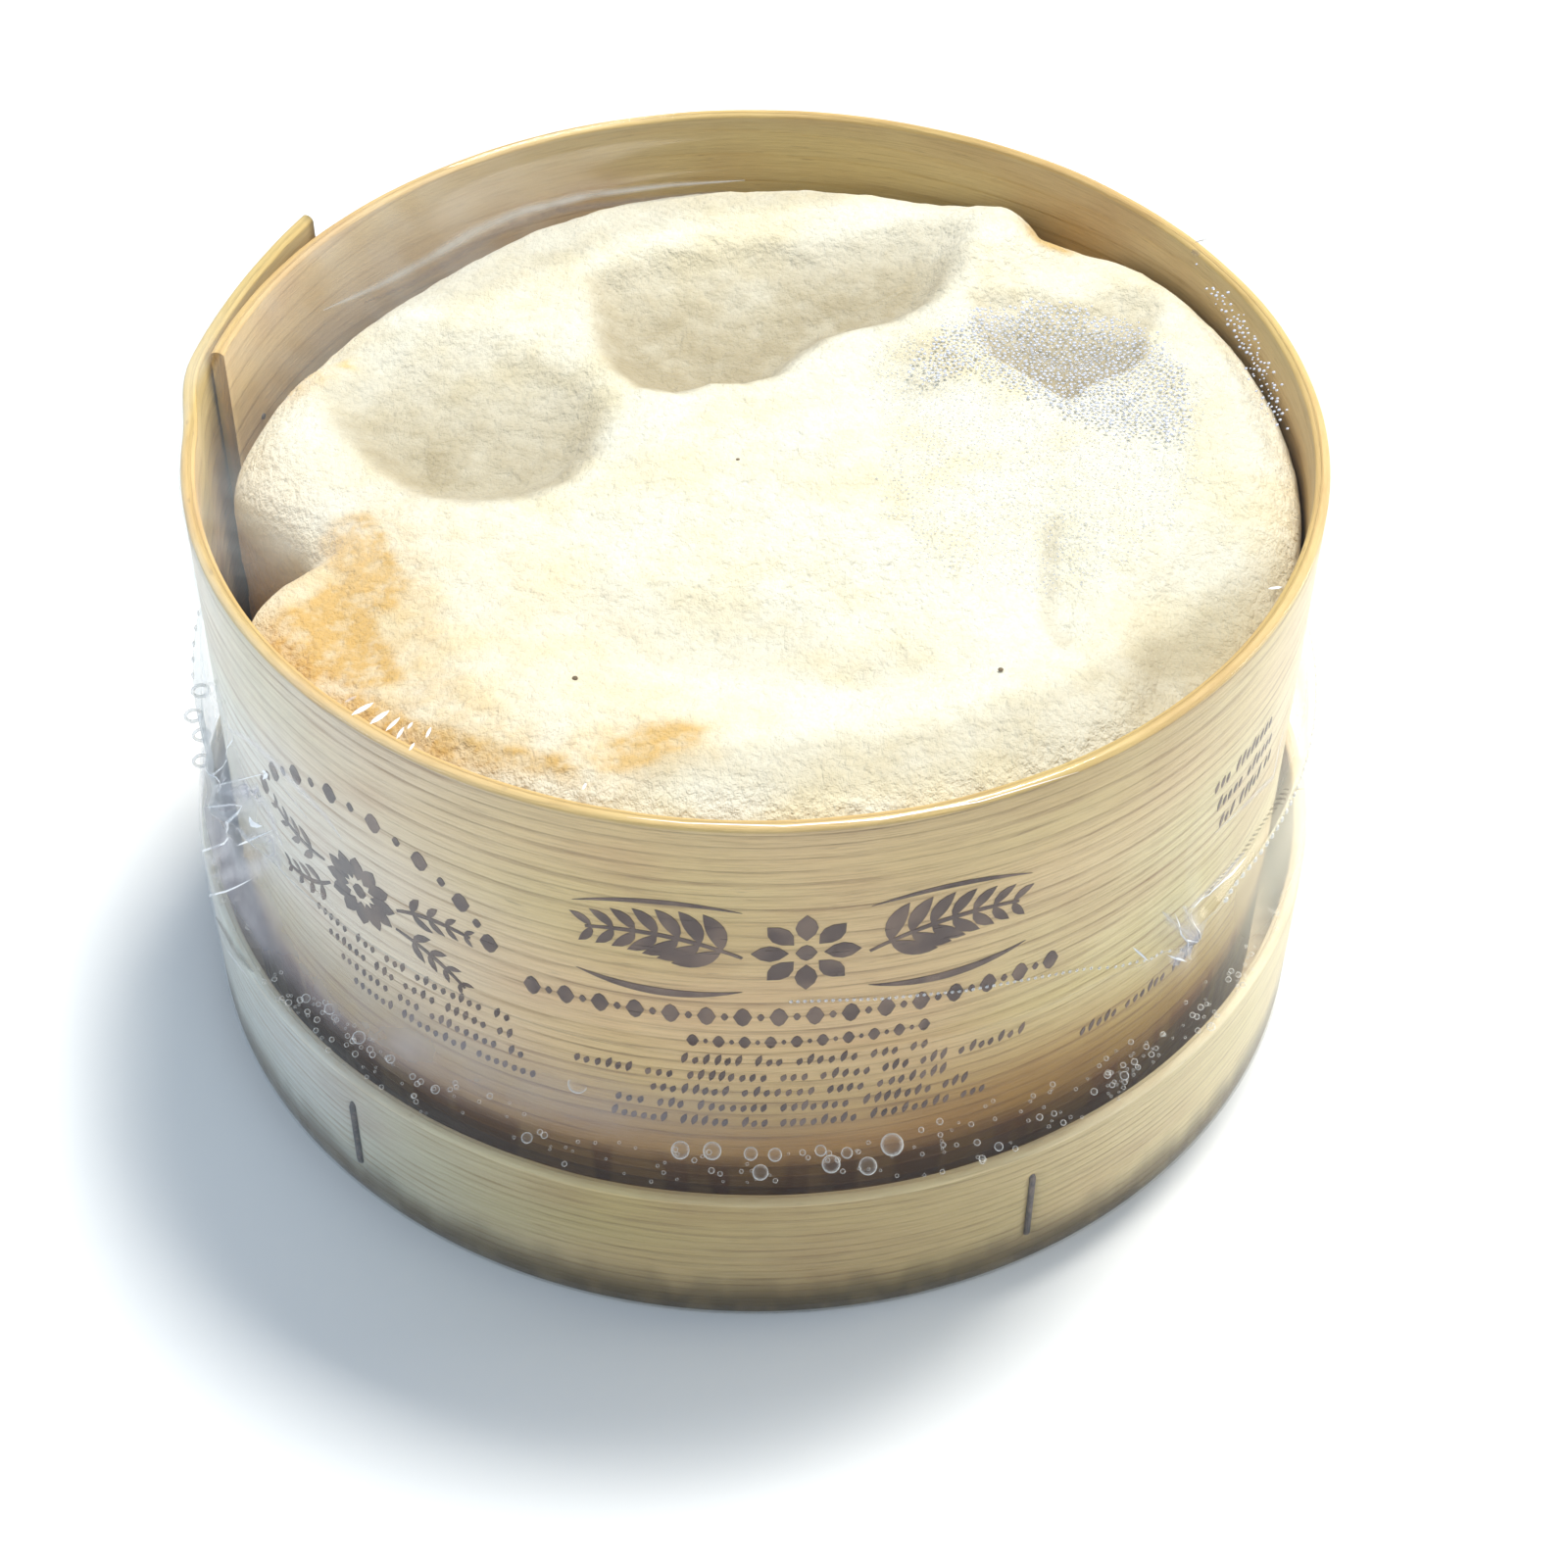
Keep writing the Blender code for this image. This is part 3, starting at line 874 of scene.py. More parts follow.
@dataclass(frozen=True)
class Patch:
    """A hollow or a coloured area of the cheese's top, outlined by spots of the picture."""

    blur: float
    # Strength of its colour: painted shade for hollows and shades, the stain's own colour for stains.
    colour: float
    spots: Spots
    depth: float = 0.0
    width: float = 4.0

    def outline(self) -> Array:
        """The outline in millimetres."""
        return SIGHT.level(self.spots, TOP_LEVEL) / MM

    def colours(self, x: Array, y: Array) -> Array:
        """How strongly it colours places, in millimetres. A hollow's painted shade is darkest towards its
        front.

        Args:
            x: Places along X.
            y: Places along Y.

        Returns:
            Strengths from 0 to 1.
        """
        outline = self.outline()
        strength = self.colour * ease(inside(x, y, outline) / self.blur + 0.5)
        return strength * self._forward(y, outline) if self.depth else strength

    def heights(self, x: Array, y: Array) -> Array:
        """How it changes the height of places, in millimetres."""
        outline = self.outline()
        return -self.depth * ease(inside(x, y, outline) / self.width + 0.25) * self._forward(y, outline)

    @staticmethod
    def _forward(y: Array, outline: Array) -> Array:
        """Rises from the back of the outline to its front."""
        low, high = outline[:, 1].min(), outline[:, 1].max()
        return 0.3 + 0.7 * ease((high - y) / (0.75 * (high - low)))


# The cheese's top, as the picture shows it: each patch has its blur in millimetres, its strength and the
# spots round it. Hollows also have their depth, and shades and stains only colour the rind.
# The grey that hollows and shades give the rind is painted shade; stains are the rind's own colour.
TOP_LEVEL = 63.0 * MM
HOLLOWS = (
    Patch(4.2, 0.84, (
        (345, 352), (380, 335), (430, 335), (500, 345), (560, 370), (602, 396), (618, 430), (610, 472),
        (582, 502), (540, 517), (480, 523), (430, 517), (396, 497), (366, 470), (338, 442), (326, 405),
    ), depth=2.3, width=6.0),
    Patch(3.6, 0.95, (
        (600, 290), (660, 268), (740, 258), (820, 258), (900, 246), (958, 236), (992, 248), (978, 292),
        (950, 324), (915, 338), (880, 345), (846, 353), (815, 376), (795, 393), (760, 403), (725, 403),
        (690, 416), (650, 412), (625, 392), (608, 360),
    ), depth=2.8, width=4.8),
    Patch(2.0, 0.85, (
        (985, 318), (1012, 306), (1060, 308), (1100, 318), (1135, 304), (1184, 304), (1188, 328),
        (1168, 352), (1168, 372), (1150, 388), (1112, 402), (1088, 420), (1060, 400), (1010, 372),
    ), depth=2.6, width=4.0),
    Patch(5.0, 0.26, (
        (1140, 612), (1185, 566), (1232, 548), (1275, 560), (1312, 560), (1312, 612), (1268, 664),
        (1210, 722), (1160, 748), (1150, 700),
    ), depth=1.8, width=7.0),
)
# Painted shade: grey patches in dips and creases, along the front rim and at the back left.
SHADES = (
    Patch(4.0, 0.42, (
        (640, 792), (740, 792), (820, 782), (900, 778), (990, 756), (1090, 716), (1180, 655),
        (1240, 612), (1312, 560), (1322, 625), (1210, 735), (1080, 792), (940, 824), (800, 838),
        (650, 826),
    )),
    Patch(4.0, 0.42, (
        (300, 335), (400, 283), (500, 245), (640, 205), (860, 200), (860, 222), (700, 236), (560, 285),
        (480, 318), (350, 332),
    )),
    Patch(4.0, 0.24, (
        (600, 600), (700, 612), (820, 628), (860, 672), (945, 672), (940, 705), (850, 712), (700, 700),
        (620, 668),
    )),
    Patch(2.5, 0.22, (
        (905, 372), (960, 356), (990, 384), (958, 420), (915, 412),
    )),
    Patch(8.0, 0.26, (
        (780, 262), (860, 250), (960, 240), (985, 252), (975, 300), (940, 325), (880, 340), (820, 330),
    )),
    Patch(1.4, 0.55, (
        (436, 462), (452, 458), (458, 474), (440, 480),
    )),
    Patch(1.4, 0.35, (
        (1062, 540), (1082, 540), (1080, 600), (1072, 630), (1098, 668), (1082, 676), (1058, 636),
    )),
    Patch(1.4, 0.35, (
        (1068, 400), (1112, 404), (1092, 432),
    )),
)
STAINS = (
    Patch(2.6, 1.0, (
        (328, 548), (350, 535), (378, 532), (400, 550), (408, 580), (424, 602), (412, 628), (392, 634),
        (394, 656), (404, 680), (415, 712), (372, 722), (330, 706), (285, 694), (262, 664), (262, 640),
        (290, 624), (322, 608), (332, 590),
    )),
    Patch(5.0, 0.46, (
        (300, 560), (420, 520), (460, 620), (470, 700), (560, 780), (650, 752), (730, 762), (735, 800),
        (640, 830), (520, 810), (400, 770), (290, 705), (250, 640),
    )),
    Patch(2.4, 0.9, (
        (612, 786), (640, 768), (690, 760), (722, 768), (716, 792), (664, 812), (618, 818), (598, 806),
    )),
    Patch(2.4, 1.0, (
        (320, 706), (372, 716), (430, 752), (500, 778), (585, 800), (600, 826), (480, 800), (380, 762),
        (312, 722),
    )),
    Patch(1.6, 0.42, (
        (288, 398), (322, 378), (344, 388), (326, 404), (296, 414),
    )),
    Patch(1.6, 0.85, (
        (1046, 236), (1066, 228), (1092, 234), (1104, 252), (1090, 272), (1064, 270), (1048, 258),
    )),
    Patch(9.0, 0.20, (
        (240, 440), (480, 540), (640, 640), (670, 760), (560, 800), (400, 770), (290, 705), (240, 620),
    )),
)


@dataclass(frozen=True)
class Mound:
    """A smooth mound of the top, or a hollow where its height is negative, in millimetres and degrees."""

    centre: Place
    half_long: float
    half_wide: float
    turn: float
    height: float

    def heights(self, x: Array, y: Array) -> Array:
        """How it changes the height of places."""
        along, across = turned_places(x, y, self.centre, self.turn)
        return self.height * np.exp(-(np.hypot(along / self.half_long, across / self.half_wide) ** 2.0))


@dataclass(frozen=True)
class Crease:
    """A crease that falls away gently on its left and steeply on its right, in millimetres and degrees."""

    centre: Place
    turn: float
    half_long: float
    gentle: float
    steep: float
    depth: float

    def heights(self, x: Array, y: Array) -> Array:
        """How it changes the height of places.

        Args:
            x: Places along X.
            y: Places along Y.

        Returns:
            Heights, none above 0.
        """
        along, across = turned_places(x, y, self.centre, self.turn)
        width = np.where(across > 0.0, self.gentle, self.steep)
        return -self.depth * np.exp(-((along / self.half_long) ** 4) - (across / width) ** 2)


@dataclass
class Cheese:
    """The cheese: a cake whose rind is folded where it was pressed into a box too small for it."""

    foot: float
    edge_radius: float = 57.0 * MM
    top_height: float = 64.5 * MM
    columns: int = 400
    top_rings: int = 124
    side_rings: int = 26
    pimples: tuple[tuple[float, float, float], ...] = (
        (33.4, 40.2, 2.9), (-47.6, 13.6, 1.7), (-44.9, 15.6, 1.5), (-50.0, 10.9, 1.2),
    )
    notch: float = 199.0
    notch_depth: float = 9.2 * MM
    drawn_in: tuple[tuple[float, float, float], ...] = (
        (138.0, 30.0, 3.6 * MM), (50.0, 5.5, 3.8 * MM), (95.0, 22.0, 1.3 * MM), (10.0, 25.0, -0.2 * MM),
    )
    swells: tuple[Mound, ...] = (
        Mound((12.0, -6.0), 27.0, 19.0, 0.0, 1.6),
        Mound((-40.0, 12.0), 8.0, 6.0, 0.0, -0.8),
        Mound((-13.0, 12.0), 5.0, 16.0, 14.0, 1.0),
        Mound((25.0, 37.0), 15.0, 4.5, 66.0, 2.2),
        Mound((49.0, 6.0), 24.0, 6.0, 96.0, 1.2),
        Mound((-2.0, -29.0), 17.0, 7.0, 8.0, -1.2),
        Mound((-41.0, -25.0), 15.0, 6.0, 118.0, -1.2),
        Mound((15.0, 9.0), 4.0, 4.0, 0.0, -1.0),
        Mound((-48.0, 13.0), 5.0, 3.0, 20.0, 1.0),
        Mound((33.0, 38.0), 3.0, 2.5, 0.0, 1.0),
        Mound((-6.0, 44.0), 26.0, 6.0, 3.0, 0.8),
    )
    creases: tuple[Crease, ...] = (
        Crease((29.5, -20.0), -86.0, 13.0, 3.0, 5.0, 1.8),
        Crease((14.0, -36.0), 20.0, 12.0, 6.0, 3.0, 1.2),
    )

    def relief(self, x: Array, y: Array) -> Array:
        """Height of the folded rind above the even top."""
        return sum(part.heights(x, y) for part in HOLLOWS + self.swells + self.creases)

    def edge(self, angle: Array) -> Array:
        """Radius of the cheese: full in front, drawn in at the back left, with a notch on either side.

        Args:
            angle: Angles in degrees.

        Returns:
            Radii in metres.
        """
        past = turn_between(angle, self.notch)
        radius = self.edge_radius - self.notch_depth * bell(past, np.where(past > 0.0, 4.4, 12.5))
        for centre, half, depth in self.drawn_in:
            radius -= depth * bell(turn_between(angle, centre), half)
        return radius

    def height(self, x: Array, y: Array) -> Array:
        """Height of the cheese: the folded top, rounded off at its edge.

        Args:
            x: Places along X, in metres.
            y: Places along Y.

        Returns:
            Heights in metres.
        """
        radius = np.hypot(x, y)
        angle = np.degrees(np.arctan2(y, x))
        front = ease((60.0 - np.abs(turn_between(angle, 272.0))) / 30.0)
        lift = front * 2.4 * MM * bell(radius - 47.0 * MM, 12.0 * MM)
        crisp = ease((135.0 - np.abs(turn_between(angle, 300.0))) / 30.0)
        width = (11.0 - 4.5 * crisp) * MM
        drop = (12.5 - 7.0 * crisp) * MM
        past = np.clip((radius - self.edge(angle) + width) / width, 0.0, 1.0)
        rounded = drop * (1.0 - np.sqrt(1.0 - past * past))
        return self.top_height + self.relief(x / MM, y / MM) * MM + lift - rounded

    def height_or_edge(self, x: Array, y: Array) -> Array:
        """Height of the cheese under a place, or of its nearest edge.

        Args:
            x: Places along X, in metres.
            y: Places along Y.

        Returns:
            Heights in metres.
        """
        radius = np.maximum(np.hypot(x, y), 1e-9)
        inward = np.minimum(1.0, self.edge(np.degrees(np.arctan2(y, x))) / radius)
        return self.height(x * inward, y * inward)

    def build(self) -> Piece:
        """Model the cheese and colour it.

        Returns:
            The piece.
        """
        angle = np.arange(self.columns) * 360.0 / self.columns
        edge = self.edge(angle)
        shares = 1.0 - (1.0 - np.linspace(0.004, 1.0, self.top_rings)) ** 1.3
        radius = shares[:, None] * edge[None, :]
        flat = around(angle[None, :], radius, np.zeros_like(radius))
        top = self.height(flat[..., 0], flat[..., 1])
        rim = top[-1]
        downs = np.linspace(1.0, 0.0, self.side_rings)[1:]
        pinch = 1.0 - 0.045 * np.clip((0.12 - downs) / 0.12, 0.0, 1.0) ** 2
        side_height = self.foot + (rim[None, :] - self.foot) * downs[:, None]
        side = around(angle[None, :], pinch[:, None] * edge[None, :], side_height)
        upper = around(angle[None, :], radius, top)
        base = around(angle[None, :], np.array([[0.5], [0.01]]) * edge[None, :], self.foot)
        points = np.concatenate([upper, side, base])
        rows = len(points)
        fade = np.ones(rows)
        fade[-3:] = 0.0
        sides = np.zeros(rows)
        sides[self.top_rings:] = 1.0
        outward = sides[:, None, None] * around(angle, 1.0, 0.0)[None]
        outward[..., 2] = (1.0 - sides)[:, None]
        lumps = crumple(points, 7.0 * MM, 3, 3.1) * 0.30 + crumple(points, 1.9 * MM, 2, 9.7) * 0.12
        moved = points + outward * ((lumps - 0.12) * MM * fade[:, None])[..., None]
        made = mesh_object("cheese_rind", moved, closed_tube(rows, self.columns, flip=True))
        self.colour(made, points, lumps)
        return settle(made, [Rind().material()], "rind", ["cheese"])

    def colour(self, made: Piece, points: Array, lumps: Array) -> None:
        """Store what the rind's finish reads.

        Args:
            made: The piece.
            points: Its points before they are made lumpy.
            lumps: How lumpy it is at each.
        """
        x, y, height = points[..., 0] / MM, points[..., 1] / MM, points[..., 2]
        wander_x = x + 1.5 * lumps
        wander_y = y + 1.5 * np.roll(lumps, 7, axis=1)
        level = self.top_height + (self.relief(x, y) + 1.0) * MM
        drop = (level - height) / MM

        def strongest(patches: Sequence[Patch]) -> Array:
            """The strongest of several patches at each point."""
            found = [patch.colours(wander_x, wander_y) for patch in patches]
            return np.maximum.reduce(found) * (1.0 - ease(drop / 8.0 - 0.6))

        # Painted shade: grey in the hollows and the shaded patches.
        paint(made, "hollow", np.clip(strongest(HOLLOWS) + strongest(SHADES), 0.0, 1.0))
        # Browner down the sides: partly the rind's own colour, partly painted shade in the gap to the box.
        paint(made, "flank", ease(drop / 9.0 - 0.45))
        paint(made, "stain", strongest(STAINS))
        spots = [bell(np.hypot(wander_x - px, wander_y - py), reach) for px, py, reach in self.pimples]
        paint(made, "pimple", np.maximum.reduce(spots))


@dataclass
class Hoop:
    """A strip of veneer bent round on itself, its ends lapped."""

    name: str
    node: str
    slot: str
    face: float
    foot: float
    top: float
    lap_start: float
    lap_turn: float
    veneer: float = 1.5 * MM
    bevel: float = 0.45 * MM
    climb_turn: float = 13.0
    rows: int = 16
    coarse: float = 1.25

    @property
    def ply_step(self) -> float:
        """How far one ply lies over the other."""
        return self.veneer + 0.35 * MM

    def middle(self, turned: Array, height: Array) -> Array:
        """Middle radius of the strip after it has turned this far from its inner end."""
        raise NotImplementedError

    def lower_edge(self, turned: Array) -> Array:
        """Height of the strip's lower edge."""
        return np.full(np.shape(turned), self.foot)

    def dents(self, angle: Array, height: Array) -> Array:
        """How deep the staples press the face in."""
        return np.zeros(np.broadcast(angle, height).shape)

    def fine_zones(self) -> list[Place]:
        """Stretches of the turn that need closer columns."""
        return []

    def section(self) -> list[tuple[float, float, float]]:
        """The strip's cross-section, from the outer foot over the rounded top to the inner foot.

        Returns:
            Share of the height, of the bevel, and of the thickness from -1 inside to 1 outside.
        """
        heights = np.linspace(0.0, 1.0, self.rows)[:-1]
        outer = [(float(share), 0.0, 1.0) for share in heights]
        cap = [(1.0, math.sin(turn), math.cos(turn)) for turn in np.radians(range(0, 181, 30))]
        inner = [(float(share), 0.0, -1.0) for share in heights[::-1]]
        return outer + cap + inner

    def build(self) -> Piece:
        """Model the strip with its own coordinates along and across, and dress its three kinds of face.

        Returns:
            The piece.
        """
        turned = self.columns(360.0 + self.lap_turn)
        angle = self.lap_start - turned
        wavy = 0.12 * MM * crumple(around(angle, self.face, 0.0), 14.0 * MM, 2, 5.0)
        low = self.lower_edge(turned)
        high = self.top + wavy - self.bevel
        points = []
        across = []
        for share, rise, side in self.section():
            level = low + (high - low) * share + self.bevel * rise
            radius = self.middle(turned, level) + side * self.veneer / 2
            if side > 0.99:
                radius = radius - self.dents(angle, level)
            points.append(around(angle, radius, level))
            across.append(level if side > 0.0 else 2 * self.top - level + self.veneer)
        grid = np.stack(points)
        rows, columns = grid.shape[:2]
        faces = [tuple(reversed(face)) for face in grid_faces(rows, columns, False)]
        foot = (rows - 1) * columns
        faces += [(foot + column, column, column + 1, foot + column + 1) for column in range(columns - 1)]
        faces.append(tuple(range(0, foot + 1, columns)))
        faces.append(tuple(range(foot + columns - 1, 0, -columns)))
        made = mesh_object(self.name, grid, faces)
        self.unwrap(made, turned, np.stack(np.broadcast_arrays(*across)))
        self.share_out(made, rows, columns)
        return settle(made, [finish.material() for finish in self.finishes()], self.slot, [self.node])

    def columns(self, total: float) -> Array:
        """Where the strip's columns stand, in degrees turned.

        Args:
            total: Whole turn of the strip.

        Returns:
            Degrees turned from the inner end.
        """
        zones = self.fine_zones()
        turned = [0.0]
        while turned[-1] < total:
            angle = (self.lap_start - turned[-1]) % 360.0
            close = any(low - 0.5 < angle < high + 0.5 for low, high in zones)
            turned.append(min(total, turned[-1] + (0.25 if close else self.coarse)))
        return np.array(turned)

    def unwrap(self, made: Piece, turned: Array, across: Array) -> None:
        """Give the strip its own coordinates, in metres.

        Args:
            made: The piece.
            turned: Degrees turned at each column.
            across: Place across the strip at each point.
        """
        along = np.broadcast_to(np.radians(turned) * self.face, across.shape)
        both = np.stack([along, across], axis=-1).reshape(-1, 2)
        corners = np.zeros(len(made.data.loops), dtype=np.int32)
        made.data.loops.foreach_get("vertex_index", corners)
        layer = made.data.uv_layers.new(name="strip")
        layer.data.foreach_set("uv", both[corners].astype(np.float32).ravel())

    def finishes(self) -> list[Veneer]:
        """Finishes of the outer face, the inner face and the edge."""
        return [Veneer(self.name, side) for side in Side]

    def share_out(self, made: Piece, rows: int, columns: int) -> None:
        """Say which of the three finishes each face has.

        Args:
            made: The piece.
            rows: Rows of its grid.
            columns: Columns of its grid.
        """
        outer = self.rows - 1
        for number, polygon in enumerate(made.data.polygons):
            row = number // (columns - 1)
            if row < outer:
                polygon.material_index = 0
            elif outer + 6 <= row < rows - 1:
                polygon.material_index = 1
            else:
                polygon.material_index = 2


@dataclass
class BoxHoop(Hoop):
    """The box's tall strip, whose outer end has sprung away at the rim."""

    flare: float = 2.0 * MM
    flare_start: float = 30.0 * MM
    rows: int = 20

    def middle(self, turned: Array, height: Array) -> Array:
        """Middle radius of the strip after it has turned this far from its inner end.

        Args:
            turned: Degrees turned.
            height: Heights.

        Returns:
            Radii.
        """
        climb = ease((turned - (360.0 - self.climb_turn - 1.0)) / self.climb_turn)
        lifted = ease((height - self.flare_start) / (self.top - self.flare_start))
        sprung = np.maximum(0.0, (turned - 360.0) / self.lap_turn) ** 2
        return self.face - self.veneer / 2 + self.ply_step * climb + self.flare * lifted * sprung

    def outside(self, angle: Array, height: Array) -> Array:
        """Radius of the outermost face, over the lap too.

        Args:
            angle: Angles in degrees.
            height: Heights.

        Returns:
            Radii.
        """
        turned = 360.0 - turn_between(angle, self.lap_start)
        lapped = (turned <= 360.0 + self.lap_turn) & (turned >= 360.0 - self.climb_turn - 1.0)
        return np.where(lapped, self.middle(turned, height) + self.veneer / 2, self.face)

    def finishes(self) -> list[Veneer]:
        """Finishes of the outer face, the inner face and the edge."""
        return [
            Veneer(
                self.name,
                Side.OUTER,
                (0.80, 0.55, 0.27),
                (0.38, 0.22, 0.10),
                contrast=0.95,
                # painted light pales the sides
                painted_side_light_share=0.72,
                front=math.radians(258.0) * self.face,
                # painted shade in the gap above the lid's rim
                foot_shade=(0.23, 0.095, 0.022),
                foot_shade_top=20.8 * MM,
                foot_shade_fade=3.0 * MM,
                # partly painted shade, partly a brown stain, lower on the wall, more at the right front
                low_shade_and_stain=(0.61, 0.46, 0.25),
                lean=(0.82, 0.74, 0.46),
            ),
            Veneer(
                self.name,
                Side.INNER,
                (0.70, 0.50, 0.25),
                (0.46, 0.29, 0.13),
                ring=2.9 * MM,
                contrast=0.4,
            ),
            Veneer(self.name, Side.EDGE, (0.74, 0.50, 0.20), (0.50, 0.29, 0.09), contrast=0.4),
        ]


@dataclass
class LidHoop(Hoop):
    """The upturned lid's low strip, whose inner end lies against the inside."""

    staple_angles: tuple[float, ...] = ()
    staple_middle: float = 9.6 * MM
    dent: float = 0.35 * MM
    rows: int = 22
    board_top: float = 0.0

    def middle(self, turned: Array, height: Array) -> Array:
        """Middle radius of the strip after it has turned this far from its inner end."""
        climb = ease((turned - self.lap_turn) / self.climb_turn)
        return self.face - self.veneer / 2 - self.ply_step * (1.0 - climb)

    def lower_edge(self, turned: Array) -> Array:
        """Height of the strip's lower edge, whose inner end is cut away to stand on the board."""
        return np.where(turned < self.lap_turn + self.climb_turn + 4.8, self.board_top, self.foot)

    def dents(self, angle: Array, height: Array) -> Array:
        """How deep the staples press the face in.

        Args:
            angle: Angles in degrees.
            height: Heights.

        Returns:
            Depths in metres.
        """
        depth = np.zeros(np.broadcast(angle, height).shape)
        reach = ease((6.2 * MM - np.abs(height - self.staple_middle)) / (1.2 * MM))
        for staple in self.staple_angles:
            away = np.radians(turn_between(angle, staple)) * self.face
            depth = depth + self.dent * bell(away, 0.75 * MM) * reach
        return depth

    def fine_zones(self) -> list[Place]:
        """Stretches of the turn that need closer columns."""
        return [(staple - 2.0, staple + 2.0) for staple in self.staple_angles]

    def finishes(self) -> list[Veneer]:
        """Finishes of the outer face, the inner face and the edge."""
        return [
            Veneer(
                self.name,
                Side.OUTER,
                (0.60, 0.43, 0.19),
                (0.32, 0.20, 0.08),
                ring=1.15 * MM,
                contrast=0.75,
                # painted shade at the foot, by the floor
                foot_shade=(0.11, 0.07, 0.022),
                foot_shade_top=4.9 * MM,
                foot_shade_fade=6.5 * MM,
                even=0.85,
                # painted light: a cool reflection on the left, warm light on the right
                painted_side_light=(0.60, 0.66, 0.68),
                painted_warm_light=(0.79, 0.68, 0.38),
                painted_side_light_share=0.8,
                front=math.radians(183.0) * self.face,
            ),
            Veneer(self.name, Side.INNER, (0.60, 0.44, 0.23), (0.40, 0.26, 0.11)),
            Veneer(
                self.name,
                Side.EDGE,
                (0.80, 0.61, 0.32),
                (0.58, 0.40, 0.18),
                contrast=0.4,
                # painted light on the sides of the edge too
                painted_side_light=(0.70, 0.74, 0.72),
                painted_warm_light=(0.84, 0.74, 0.50),
                painted_side_light_share=0.85,
                front=math.radians(183.0) * self.face,
            ),
        ]


@dataclass
class Staples:
    """Wire staples pressed into the hoops, each an upright crown with a leg at each end."""

    wire: float = 0.7 * MM
    span: float = 10.0 * MM
    bend: float = 0.6 * MM
    sides: int = 10

    def route(self, face: float, leg: float) -> list[Place]:
        """The wire's middle line, as radius and height from the staple's middle.

        Args:
            face: Radius of the face it is pressed into.
            leg: Length of a leg.

        Returns:
            Points from the upper leg to the lower one.
        """
        outer = face - 0.12 * MM
        half = self.span / 2
        corner = [
            (outer - self.bend * (1.0 - math.sin(turn)), half - self.bend * (1.0 - math.cos(turn)))
            for turn in np.radians((0, 22.5, 45, 67.5, 90))
        ]
        upper = [(outer - leg, half)] + corner
        lower = [(radius, -height) for radius, height in reversed(upper)]
        return upper + lower

    def build(self, node: str, angle: float, middle: float, face: float, leg: float) -> Piece:
        """Model one staple.

        Args:
            node: The solid that it stands for.
            angle: Where it sits, in degrees.
            middle: Height of its middle.
            face: Radius of the face it is pressed into.
            leg: Length of a leg.

        Returns:
            The piece.
        """
        route = self.route(face, leg)
        sides = np.arange(self.sides) * 2 * math.pi / self.sides
        rings = []
        for number, (radius, height) in enumerate(route):
            before = route[max(0, number - 1)]
            after = route[min(len(route) - 1, number + 1)]
            along = Vector((after[0] - before[0], 0.0, after[1] - before[1])).normalized()
            out = Vector((along.z, 0.0, -along.x))
            ring = [
                Vector((radius, 0.0, middle + height))
                + (out * math.cos(turn) + Vector((0.0, 1.0, 0.0)) * math.sin(turn)) * self.wire / 2
                for turn in sides
            ]
            rings.append(ring)
        turned = Matrix.Rotation(math.radians(angle), 4, "Z")
        points = np.array([[turned @ point for point in ring] for ring in rings])
        made = mesh_object(node + "_wire", points, closed_tube(len(rings), self.sides))
        return settle(made, [StapleWire().material()], "staple_wire", [node])


